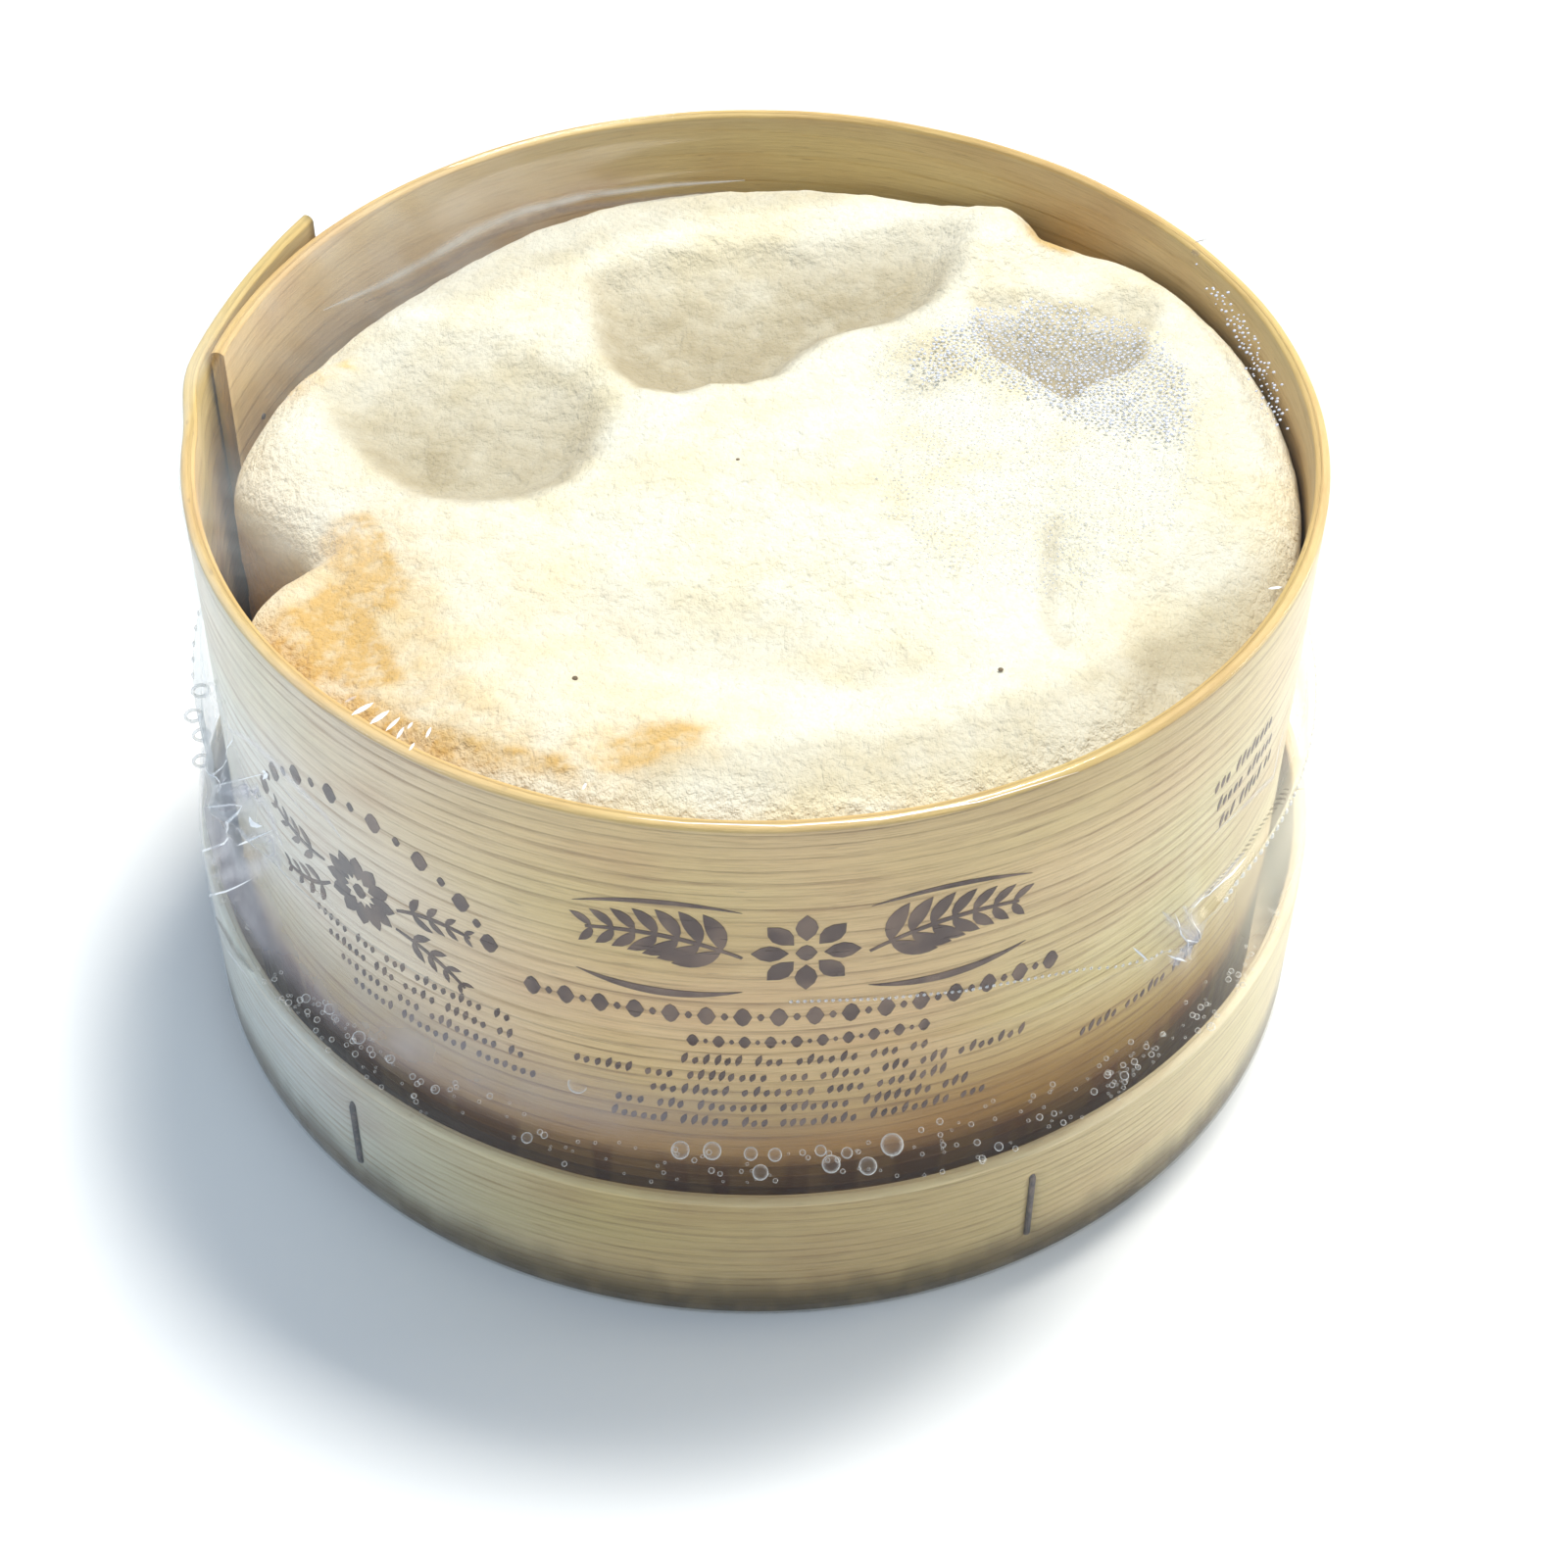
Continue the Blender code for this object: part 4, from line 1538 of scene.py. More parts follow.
@dataclass
class Film:
    """The shrunk film: under the lid, up its side, in to the wall, over the rim and across the cheese."""

    cheese: Cheese
    box: BoxHoop
    lid_face: float
    lid_top: float
    rim_top: float
    gap: float = 0.14 * MM
    thickness: float = 0.10 * MM
    eye: float = 5.0 * MM
    front_contact: float = 30.0 * MM
    side_contact: float = 54.0 * MM
    sheet_sag: float = 4.6 * MM
    sag_reach: float = 14.0 * MM
    seam_proud: float = 0.9 * MM
    corners: tuple[Place, ...] = ((208.0, 2.3 * MM), (316.0, 2.0 * MM), (28.0, 1.6 * MM), (136.0, 1.6 * MM))

    def seam(self, angle: Array) -> Array:
        """Height of the weld seam round the side."""
        return 39.5 * MM - 2.0 * MM * np.cos(np.radians(np.asarray(angle) - 316.0))

    def side(self, angle: Array, height: Array) -> Array:
        """Radius inside the film: tight on the wall above, sloping out to the lid's edge below.

        Args:
            angle: Angles in degrees.
            height: Heights.

        Returns:
            Radii.
        """
        front = np.abs(turn_between(angle, 270.0)) / 90.0
        contact = self.front_contact + (self.side_contact - self.front_contact) * ease(front)
        lid_edge = self.lid_top + 2 * self.gap
        down = np.clip((contact - height) / (contact - lid_edge), 0.0, 1.0)
        wall = self.box.face + self.gap
        lap = np.zeros(np.broadcast(angle, height).shape)
        for off in range(0, 21, 2):
            held = min(1.0, (20 - off) / 12.0)
            lap = np.maximum(lap, (self.box.outside(angle + off, height) - self.box.face) * held)
        slope = (self.lid_face + self.gap - wall) * down ** 1.25
        folded = np.zeros(np.broadcast(angle, height).shape)
        for corner, proud in self.corners:
            off = turn_between(angle, corner)
            pleat = 0.75 + 0.25 * np.cos(np.radians(off * 60.0))
            folded = folded + proud * pleat * bell(off, 5.0) * bell(height - self.seam(angle), 5.0 * MM)
        return wall + np.maximum(lap, slope) + folded

    def top(self, x: Array, y: Array) -> Array:
        """Height inside the film over the box: drawn tight from the rim and resting on the cheese.

        Args:
            x: Places along X, in metres.
            y: Places along Y.

        Returns:
            Heights.
        """
        inner = self.box.face - self.box.veneer
        sheet = self.rim_top + self.gap - self.sheet_sag * ease((inner - np.hypot(x, y)) / self.sag_reach)
        over = self.cheese.height_or_edge(x, y)
        for turn in np.radians(np.arange(0.0, 360.0, 45.0)):
            near = self.cheese.height_or_edge(x + 3.0 * MM * math.cos(turn), y + 3.0 * MM * math.sin(turn))
            over = np.maximum(over, near)
        over = over + self.gap
        blend = 0.6 * MM
        return np.maximum(sheet, over) + blend * 0.5 * np.exp(-np.abs(sheet - over) / blend)

    def fans(self, angle: Array, height: Array) -> Array:
        """Creases that fan out from the two front corners.

        Args:
            angle: Angles in degrees.
            height: Heights.

        Returns:
            How far they stand out, in metres.
        """
        out = np.zeros(np.broadcast(angle, height).shape)
        for centre, rise, count, phase in ((206.0, 38.0 * MM, 17.0, 0.4), (316.0, 36.0 * MM, 15.0, 1.3)):
            along = np.radians(turn_between(angle, centre)) * self.box.face
            up = height - rise
            reach = np.hypot(along, up)
            spoke = np.cos(np.arctan2(up, along) * count + phase)
            sharp = 1.0 - np.abs(spoke) ** 0.7
            fade = np.exp(-reach / (8.0 * MM)) * ease(reach / (3.0 * MM))
            out = out + 0.26 * MM * sharp * fade
        return out

    def rows(self) -> list[tuple[str, float]]:
        """The film's rows from the eye in the underside up to the middle of the top.

        Returns:
            What each row runs on, and its radius, height or share.
        """
        under = [("under", float(r)) for r in np.linspace(self.eye, self.lid_face, 7)]
        lid = [("lid", float(h)) for h in np.linspace(0.6 * MM, self.lid_top, 9)]
        lower = [("side", float(h)) for h in np.linspace(self.lid_top + 2 * self.gap, 35.5 * MM, 17)]
        seam = [("seam", float(h) * MM) for h in (-1.8, -1.2, -0.8, -0.4, 0.0, 0.4, 0.8, 1.2, 1.8)]
        upper = [("side", float(h)) for h in np.linspace(44.0 * MM, self.rim_top - 0.5 * MM, 19)]
        rim = [("rim", float(turn)) for turn in np.linspace(0.0, 1.0, 7)]
        top = [("top", float(share)) for share in 1.0 - np.linspace(0.02, 0.99, 34) ** 1.15]
        return under + lid + lower + seam + upper + rim + top

    def row(self, kind: str, value: float, angle: Array) -> Array:
        """One row of points inside the film.

        Args:
            kind: What the row runs on.
            value: Its radius, height or share.
            angle: Angles in degrees.

        Returns:
            The points.
        """
        inner = self.box.face - self.box.veneer
        if kind == "under":
            radius = value - (0.3 * MM if value > self.lid_face - MM else 0.0)
            return around(angle, radius, 0.3 * MM)
        if kind == "lid":
            return around(angle, self.lid_face + self.gap, value)
        if kind == "side":
            return around(angle, self.side(angle, value) + self.fans(angle, value), value)
        if kind == "seam":
            height = self.seam(angle) + value
            proud = self.seam_proud * bell(value, 0.75 * MM)
            return around(angle, self.side(angle, height) + self.fans(angle, height) + proud, height)
        if kind == "rim":
            outer = self.side(angle, self.rim_top) - self.gap / 2
            rise = self.gap + 0.1 * MM - 0.45 * MM * np.clip(np.abs(value - 0.45) * 2.2 - 0.45, 0.0, 1.0) ** 2
            return around(angle, outer + (inner - outer) * value, self.rim_top + rise)
        radius = inner * value
        flat = around(angle, radius, 0.0)
        height = self.top(flat[:, 0], flat[:, 1])
        return around(angle, radius, height + self.streaks(angle, radius))

    def streaks(self, angle: Array, radius: float) -> Array:
        """Short radial wrinkles just inside the front left of the rim."""
        zone = bell(turn_between(angle, 232.0), 9.0) * bell(radius - 53.5 * MM, 3.0 * MM)
        return 0.35 * MM * zone * (0.5 + 0.5 * np.cos(np.radians(angle * 180.0)))

    def build(self) -> Piece:
        """Model the film as a thin closed shell.

        Returns:
            The piece.
        """
        angle = spaced(1.25, 0.5, [(199.0, 242.0), (306.0, 326.0)])
        kinds = self.rows()
        inside = np.stack([self.row(kind, value, angle) for kind, value in kinds])
        ripple = crumple(inside, 9.0 * MM, 2, 2.0)
        inside[..., :2] *= 1.0 + 0.0012 * np.clip(ripple, 0.0, 1.0)[..., None]
        rows, columns = inside.shape[:2]
        faces = grid_faces(rows, columns, True)
        faces.append(tuple(range((rows - 1) * columns, rows * columns)))
        made = mesh_object("shrink_film", inside, faces)
        self.cloud(made, inside)
        thick = made.modifiers.new("film", "SOLIDIFY")
        thick.thickness = self.thickness
        thick.offset = 1.0
        thick.material_offset = 1
        cast_nothing(made)
        finish = ClearFilm()
        return settle(made, [finish.material(), finish.lining()], "clear_film", ["film"])

    def cloud(self, made: Piece, points: Array) -> None:
        """Store how much the film is clouded at each point: by mist and folds, by painted reflection and by
        painted light.

        Args:
            made: The piece.
            points: Its points, row by row.
        """
        x, y, z = points[..., 0], points[..., 1], points[..., 2]
        angle = np.degrees(np.arctan2(y, x)) % 360.0
        radius = np.hypot(x, y)
        turn = turn_between(angle, 0.0)
        on_side = ease((radius - 58.0 * MM) / MM)
        front = ease((292.0 - angle) / 60.0) * ease((angle - 180.0) / 25.0)
        band = ease((z - 23.0 * MM) / (4.0 * MM)) * ease((36.0 * MM - z) / (9.0 * MM))
        ear = on_side * bell(turn_between(angle, 205.0), 11.0) * bell(z - 33.0 * MM, 13.0 * MM)
        tuft = on_side * bell(turn_between(angle, 315.0), 3.0) * bell(z - 37.0 * MM, 4.5 * MM)
        rough = crumple(points, 5.0 * MM, 3, 4.0)
        left = on_side * ease((262.0 - angle) / 62.0) * ease((angle - 150.0) / 30.0)
        right = on_side * ease((turn + 62.0) / 45.0) * ease((75.0 - turn) / 35.0)
        over_lid = 1.0 - ease((z - 20.0 * MM) / (4.0 * MM))
        # Painted reflection: pale on the left side, higher up and over the lid.
        left_painted_reflection = left * (0.20 * ease((z - 26.0 * MM) / (12.0 * MM)) + 0.10 * over_lid) + 0.02 * on_side
        # Painted light: warm cream on the right side.
        cream = right * (0.08 + 0.42 * ease((turn + 44.0) / 14.0) * bell(z - 32.0 * MM, 9.0 * MM))
        sag = ease((radius - 40.0 * MM) / (3.0 * MM)) * ease((58.2 * MM - radius) / MM)
        sag = sag * ease((z - 55.0 * MM) / MM)
        # A pale veil over the sagging top at the back, in the painted reflection's colour.
        veil = 0.15 * sag * bell(turn_between(angle, 150.0), 34.0)
        veil = veil + 0.16 * sag * bell(turn_between(angle, 198.0), 10.0)
        haze = (0.42 * on_side * front * band + 0.34 * ear + 0.30 * tuft) * (0.9 + 0.4 * rough)
        pale = (left_painted_reflection + veil) * (0.9 + 0.35 * rough)
        every = np.clip(haze, 0.0, 1.0) + pale + cream
        paint(made, "haze", np.clip(every, 0.0, 0.85))
        paint(made, "pale", pale / np.maximum(every - cream, 1e-6))
        paint(made, "warm", cream / np.maximum(every, 1e-6))
        paint(made, "shine", 1.0 - 0.93 * sag * ease((angle - 10.0) / 20.0) * ease((225.0 - angle) / 20.0))


def stroke_mesh(
    name: str,
    lines: Sequence[Array],
    widths: Sequence[Array],
    lay: Callable[[Array, float], Array],
    thickness: float,
) -> Piece:
    """Thin raised strokes on a curved face, joined in one mesh, each a closed strip.

    Args:
        name: The piece's name.
        lines: For each stroke its middle line, as places along and up in metres.
        widths: For each stroke its width at each place.
        lay: Turns places and a lift off the face into points.
        thickness: How far the strokes stand off the face.

    Returns:
        The piece.
    """
    points = []
    faces = []
    count = 0
    for line, width in zip(lines, widths):
        run = np.gradient(line, axis=0)
        side = np.stack([-run[:, 1], run[:, 0]], axis=1) / np.maximum(np.hypot(*run.T), 1e-9)[:, None]
        left = line + side * width[:, None] / 2
        right = line - side * width[:, None] / 2
        lower = [lay(left, 0.0), lay(right, 0.0)]
        ring = lower + [lay(edge, thickness) for edge in (right, line, left)]
        points.append(np.stack(ring, axis=1).reshape(-1, 3))
        faces += [tuple(count + corner for corner in face) for face in closed_tube(len(line), len(ring))]
        count += len(line) * len(ring)
    made = mesh_object(name, np.concatenate(points), faces)
    made.data.shade_flat()
    paint(made, "middle", np.tile([0.0, 0.0, 0.0, 1.0, 0.0], count // 5))
    return made


@dataclass
class Print:
    """Generic brown print: a leafy garland, bands of lozenges, rows of small leaves and a rosette."""

    face: float
    lift: float = 0.02 * MM
    ink: float = 0.04 * MM
    leaf: float = 1.75 * MM
    front_rows: tuple[tuple[float, float, float], ...] = (
        (264.0, 287.5, 35.6),
        (253.5, 298.5, 33.2),
        (261.0, 289.5, 30.9),
        (257.5, 293.5, 28.5),
        (257.0, 294.0, 26.1),
    )
    lines: list[Array] = field(default_factory=list)
    widths: list[Array] = field(default_factory=list)

    def lay(self, places: Array, lift: float) -> Array:
        """Wrap places on the wall."""
        angle = 270.0 + np.degrees(places[:, 0] / self.face)
        return around(angle, self.face + self.lift + lift, places[:, 1])

    def at(self, angle: float) -> float:
        """Place along the wall of an angle."""
        return math.radians(angle - 270.0) * self.face

    def stroke(self, start: Place, end: Place, width: float, bow: float = 0.0, tip: float = 1.0) -> None:
        """Add one stroke that swells in the middle.

        Args:
            start: Where it starts, along and up.
            end: Where it ends.
            width: Its greatest width.
            bow: How far its middle is pushed to the left.
            tip: 1 for pointed ends, 0 for square ones.
        """
        steps = max(5, int(math.dist(start, end) / (0.6 * MM)))
        share = np.linspace(0.0, 1.0, steps)
        first = np.array(start)
        run = np.array(end) - first
        side = np.array([-run[1], run[0]]) / max(1e-9, math.hypot(*run))
        line = first + run * share[:, None] + side * (bow * 4.0 * share * (1.0 - share))[:, None]
        swell = (np.sin(np.pi * share) ** 0.8) * tip + (1.0 - tip)
        self.lines.append(line)
        self.widths.append(np.maximum(width * swell, 0.03 * MM))

    def lozenges(self, start: float, end: float, height: float, size: float, gap: float) -> None:
        """Add a band of lozenges with dots between them.

        Args:
            start: Angle where the band starts.
            end: Angle where it ends.
            height: Its height.
            size: Height of a lozenge.
            gap: Distance from one to the next.
        """
        low, high = self.at(start), self.at(end)
        count = int((high - low) / gap)
        for number in range(count + 1):
            along = low + (high - low) * number / count
            half = size / 2 if number % 2 == 0 else size / 5
            self.dab((along, height), half * 0.55, half * 1.6)

    def dab(self, middle: Place, half: float, width: float) -> None:
        """Add one short stroke along the wall, pointed at both ends."""
        self.stroke((middle[0] - half, middle[1]), (middle[0] + half, middle[1]), width)

    def leaves(self, start: float, end: float, height: float, tall: float, seed: int) -> None:
        """Add a row of small slanted leaves in groups.

        Args:
            start: Angle where the row starts.
            end: Angle where it ends.
            height: Its height.
            tall: Height of a leaf.
            seed: For the sizes.
        """
        draw = random.Random(seed)
        along, high = self.at(start), self.at(end)
        while along < high - MM:
            for _ in range(draw.randint(3, 8)):
                reach = tall * draw.choice((0.62, 0.72, 0.95))
                if along < high:
                    self.stroke((along, height), (along + 0.3 * reach, height + reach), 0.62 * MM, 0.05 * MM)
                along += draw.uniform(0.95, 1.15) * MM
            along += 0.9 * MM

    def sprig(self, start: Place, turn: float, length: float, bow: float, leaf: float) -> None:
        """Add a bent stem with paired leaves.

        Args:
            start: Where the stem starts.
            turn: Its direction in degrees.
            length: Its length.
            bow: How far it bends.
            leaf: Length of its longest leaves.
        """
        heading = np.array([math.cos(math.radians(turn)), math.sin(math.radians(turn))])
        side = np.array([-heading[1], heading[0]])
        first = np.array(start)
        last = first + heading * length
        self.stroke(tuple(first), tuple(last), 0.55 * MM, bow, 0.4)
        pairs = max(3, int(length / (1.9 * MM)))
        for number in range(1, pairs + 1):
            share = number / (pairs + 0.3)
            root = first + heading * length * share + side * bow * 4.0 * share * (1.0 - share)
            size = leaf * (1.0 - 0.55 * share)
            lean = turn + math.degrees(math.atan2(bow * 4.0 * (1.0 - 2.0 * share), length))
            for way in (-1.0, 1.0):
                out = math.radians(lean + way * 48.0)
                tip = root + size * np.array([math.cos(out), math.sin(out)])
                self.stroke(tuple(root), tuple(tip), size * 0.36, way * size * 0.08)

    def rosette(self, centre: Place, radius: float, petals: int) -> None:
        """Add a flower of petals round a dot.

        Args:
            centre: Its middle.
            radius: Its radius.
            petals: How many petals.
        """
        self.dab(centre, radius * 0.2, radius * 0.42)
        for petal in range(petals):
            turn = 2 * math.pi * petal / petals
            heading = np.array([math.cos(turn), math.sin(turn)])
            root = np.array(centre) + heading * radius * 0.32
            tip = np.array(centre) + heading * radius
            self.stroke(tuple(root), tuple(tip), radius * 0.42)

    def garland(self) -> None:
        """Add the large garland in front."""
        middle = self.at(275.5)
        up = 52.0 * MM
        self.rosette((middle, up), 5.2 * MM, 8)
        for way, turn in ((1.0, 8.0), (-1.0, 172.0)):
            start = (middle + way * 6.0 * MM, up - 0.6 * MM)
            self.sprig(start, turn, 15.0 * MM, way * 1.4 * MM, 5.6 * MM)
            near = middle + way * 6.0 * MM
            far = middle + way * 22.0 * MM
            self.stroke((near, up - 5.4 * MM), (far, up - 4.6 * MM), 1.0 * MM, -way * 1.1 * MM)
            self.stroke((near, up + 5.6 * MM), (far, up + 4.8 * MM), 0.6 * MM, way * 1.2 * MM)

    def emblem(self) -> None:
        """Add the rosette and sprigs at the left, under an arch of lozenges."""
        middle = (self.at(229.5), 44.6 * MM)
        self.rosette(middle, 4.8 * MM, 12)
        for turn in (205.0, 172.0, -25.0, 8.0):
            heading = math.radians(turn)
            start = (middle[0] + 5.2 * MM * math.cos(heading), middle[1] + 5.2 * MM * math.sin(heading))
            self.sprig(start, turn, 9.0 * MM, 0.8 * MM, 3.2 * MM)
        for number in range(15):
            turn = math.radians(160.0 - number * 142.0 / 14)
            along = middle[0] + 17.0 * MM * math.cos(turn)
            up = middle[1] - 2.0 * MM + 14.0 * MM * math.sin(turn)
            size = (2.9 if number % 2 == 0 else 1.4) * MM
            self.dab((along, up), size * 0.35, size * 0.9)

    def build(self) -> Piece:
        """Draw all the print.

        Returns:
            The piece.
        """
        self.garland()
        self.lozenges(249.5, 300.0, 42.9 * MM, 3.3 * MM, 1.7 * MM)
        self.lozenges(265.0, 287.0, 39.2 * MM, 2.2 * MM, 1.2 * MM)
        for number, (start, end, height) in enumerate(self.front_rows):
            self.leaves(start, end, height * MM, self.leaf, 40 + number)
        self.emblem()
        for number in range(4):
            start, end = 222.0 + number * 1.6, 246.5 + number * 0.8
            self.leaves(start, end, (36.0 - 2.5 * number) * MM, self.leaf, 60 + number)
        for number in range(3):
            self.leaves(321.0 + number, 334.0, (52.0 - 3.2 * number) * MM, 2.0 * MM, 70 + number)
        self.leaves(305.0, 321.0, 28.2 * MM, self.leaf, 80)
        made = stroke_mesh("printed_ornament", self.lines, self.widths, self.lay, self.ink)
        return settle(made, [Ink().material()])


Shape = tuple[Array, list[tuple[int, ...]]]


def turned_shape(sides: int, profile: Sequence[Place], tip: float) -> Shape:
    """Rings of points round Z, closed by a tip above.

    Args:
        sides: Sides of each ring.
        profile: Radius and height of each ring, from the lowest.
        tip: Height of the tip.

    Returns:
        The points and faces.
    """
    turns = np.arange(sides) * 2 * math.pi / sides
    points = [(reach * math.cos(t), reach * math.sin(t), height) for reach, height in profile for t in turns]
    faces = grid_faces(len(profile), sides, True)
    top = len(points)
    faces += [(top - sides + side, top - sides + (side + 1) % sides, top) for side in range(sides)]
    return np.array(points + [(0.0, 0.0, tip)]), faces


def dome(sides: int, flat: float, rings: int = 4) -> Shape:
    """A closed dome of radius 1.

    Args:
        sides: Sides of its foot.
        flat: Its height.
        rings: Rings of points below its tip.

    Returns:
        Its points and faces.
    """
    climbs = np.arange(rings) * math.pi / 2 / rings
    points, faces = turned_shape(sides, [(math.cos(turn), flat * math.sin(turn)) for turn in climbs], flat)
    return points, faces + [tuple(reversed(range(sides)))]


def ring(sides: int, wire: float) -> Shape:
    """A ring of radius 1.

    Args:
        sides: Sides round the ring.
        wire: Half its thickness.

    Returns:
        Its points and faces.
    """
    points = []
    for turn in np.arange(sides) * 2 * math.pi / sides:
        for side in np.arange(5) * 2 * math.pi / 5:
            reach = 1.0 + wire * math.cos(side)
            points.append((reach * math.cos(turn), reach * math.sin(turn), wire * math.sin(side)))
    count = len(points)
    faces = []
    for number in range(count):
        after = number - 4 if number % 5 == 4 else number + 1
        faces.append((number, (number + 5) % count, (after + 5) % count, after))
    return np.array(points), faces


def ball(sides: int, rings: int) -> Shape:
    """A ball of radius 1.

    Args:
        sides: Sides round its middle.
        rings: Rings of points between its two ends.

    Returns:
        Its points and faces.
    """
    rises = np.linspace(-math.pi / 2, math.pi / 2, rings + 2)[1:-1]
    points, faces = turned_shape(sides, [(math.cos(turn), math.sin(turn)) for turn in rises], 1.0)
    low = len(points)
    faces += [((side + 1) % sides, side, low) for side in range(sides)]
    return np.append(points, [[0.0, 0.0, -1.0]], axis=0), faces


def scatter(name: str, shape: Shape, centres: Array, outs: Array, radii: Array) -> Piece:
    """Many small shapes joined in one mesh.

    Args:
        name: The piece's name.
        shape: The shape, which stands along Z.
        centres: Where each one is.
        outs: Which way each stands.
        radii: How large each is.

    Returns:
        The piece.
    """
    unit, faces = shape
    outs = outs / np.linalg.norm(outs, axis=1, keepdims=True)
    helper = np.where(np.abs(outs[:, 2:3]) > 0.9, [[1.0, 0.0, 0.0]], [[0.0, 0.0, 1.0]])
    across = np.cross(helper, outs)
    across /= np.linalg.norm(across, axis=1, keepdims=True)
    axes = np.stack([across, np.cross(outs, across), outs], axis=1)
    points = centres[:, None, :] + (unit @ axes) * np.broadcast_to(radii, len(centres))[:, None, None]
    every = (np.array(face) + number * len(unit) for number in range(len(centres)) for face in faces)
    return mesh_object(name, points.reshape(-1, 3), [tuple(face.tolist()) for face in every])


def lattice(outline: Array, step: float, jitter: float, seed: int) -> Array:
    """Places strewn evenly but loosely inside an outline.

    Args:
        outline: Corners of the outline.
        step: Usual distance from one place to the next.
        jitter: Share of the step by which each may stray.
        seed: For the straying.

    Returns:
        The places, one row each.
    """
    draw = np.random.default_rng(seed)
    low, high = outline.min(axis=0), outline.max(axis=0)
    x, y = np.meshgrid(np.arange(low[0], high[0], step), np.arange(low[1], high[1], step * 0.87))
    x = x + (np.arange(len(x)) % 2)[:, None] * step / 2
    x = x + draw.uniform(-jitter, jitter, x.shape) * step
    y = y + draw.uniform(-jitter, jitter, y.shape) * step
    kept = inside(x, y, outline) > draw.uniform(-0.5, 2.5, x.shape) * step
    return np.stack([x[kept], y[kept]], axis=1)


@dataclass
class Moisture:
    """Drops under the film over the cheese, and bubbles of water where it meets the lid."""

    film: Film
    seed: int = 7
    white_area: Spots = (
        (925, 372), (955, 335), (1000, 312), (1060, 302), (1130, 312), (1178, 335), (1212, 370), (1222, 420),
        (1205, 452), (1150, 448), (1095, 430), (1040, 400), (985, 380), (945, 400),
    )
    clear_area: Spots = (
        (895, 345), (960, 318), (1060, 305), (1180, 330), (1232, 400), (1222, 500), (1180, 560), (1120, 600),
        (1060, 612), (1000, 600), (940, 570), (890, 520), (905, 440), (880, 390),
    )
    wall_area: Spots = (
        (1222, 268), (1248, 292), (1282, 340), (1306, 390), (1316, 440), (1300, 440), (1276, 390),
        (1252, 342), (1232, 305),
    )
    big_bubbles: Spots = (
        (693, 1180), (726, 1181), (766, 1182), (791, 1183), (776, 1200), (849, 1193), (887, 1195),
        (913, 1176), (362, 1062), (396, 1083), (442, 1114), (536, 1164), (586, 1114), (1021, 1173),
        (1150, 1100), (1240, 1050), (838, 1178), (865, 1180), (333, 1032), (310, 1020),
    )
    big_sizes: tuple[float, ...] = (8, 8, 6, 6, 7, 8, 8, 10, 6, 4, 4, 5, 9, 4, 4, 4, 5, 5, 5, 4)
    pixel: float = 0.118 * MM
    small_zones: tuple[tuple[float, float, float, float, int], ...] = (
        (214.0, 252.0, 20.2, 26.0, 80),
        (252.0, 286.0, 20.4, 25.0, 45),
        (286.0, 330.0, 19.8, 26.5, 120),
        (150.0, 214.0, 20.4, 26.0, 50),
        (330.0, 420.0, 20.4, 26.0, 50),
    )

    def drops(self, name: str, area: Spots, step: float, size: Place, finish: Water) -> None:
        """Drops hanging under the film.

        Args:
            name: The piece's name.
            area: Their area in the picture.
            step: Distance from one to the next.
            size: Smallest and largest radius.
            finish: Their finish.
        """
        places = lattice(SIGHT.upon(area, self.film.top), step, 0.30, self.seed)
        x, y = places[:, 0], places[:, 1]
        small = 0.2 * MM
        here = self.film.top(x, y)
        lean_x = (self.film.top(x + small, y) - here) / small
        lean_y = (self.film.top(x, y + small) - here) / small
        outs = np.stack([lean_x, lean_y, -np.ones_like(here)], axis=1)
        radii = np.random.default_rng(self.seed).uniform(size[0], size[1], len(x))
        made = scatter(name, dome(6, 0.6, 3), np.stack([x, y, here], axis=1), outs, radii)
        settle(made, [finish.material()], "clear_film")

    def bubbles(self) -> None:
        """Round bubbles behind the film above the lid's edge, each bright round its edge with a painted
        reflection.
        """
        draw = np.random.default_rng(self.seed + 1)
        places = [SIGHT.against(self.big_bubbles, self.film.side)]
        radii = [np.array(self.big_sizes) * self.pixel]
        for start, end, low, high, count in self.small_zones:
            angles = draw.uniform(start, end, count)
            places.append(np.stack([angles, draw.uniform(low, high, count) * MM], axis=1))
            radii.append((0.14 + 0.24 * draw.uniform(0.0, 1.0, count) ** 2) * MM)
        large = Water("bubble_water", (0.92, 0.93, 0.92), 0.0, 2.0, 2.8)
        small = Water("small_bubble_water", (0.95, 0.93, 0.88), 0.0, 1.6, 2.2)
        sorts = (
            ("trapped_bubbles", places[:1], radii[:1], large),
            ("small_bubbles", places[1:], radii[1:], small),
        )
        for name, spread, sizes, finish in sorts:
            angle, height = np.concatenate(spread).T
            size = np.concatenate(sizes)
            centres = around(angle, self.film.side(angle, height) - size - 0.06 * MM, height)
            made = scatter(name, ball(16, 9), centres, around(angle, 1.0, 0.0), size)
            cast_nothing(made)
            settle(made, [finish.material()], "clear_film")

    def build(self) -> None:
        """Model all the drops and bubbles."""
        # The white drops' bluish white is a painted sheen of the sky on them.
        white = Water("white_water", (0.86, 0.89, 1.0), 0.60, 0.4)
        clear = Water("clear_water", (0.66, 0.70, 0.78), 0.25, 0.3)
        self.drops("white_drops", self.white_area, 0.62 * MM, (0.13 * MM, 0.24 * MM), white)
        self.drops("wall_drops", self.wall_area, 0.60 * MM, (0.10 * MM, 0.22 * MM), white)
        self.drops("clear_drops", self.clear_area, 0.72 * MM, (0.07 * MM, 0.15 * MM), clear)
        self.bubbles()


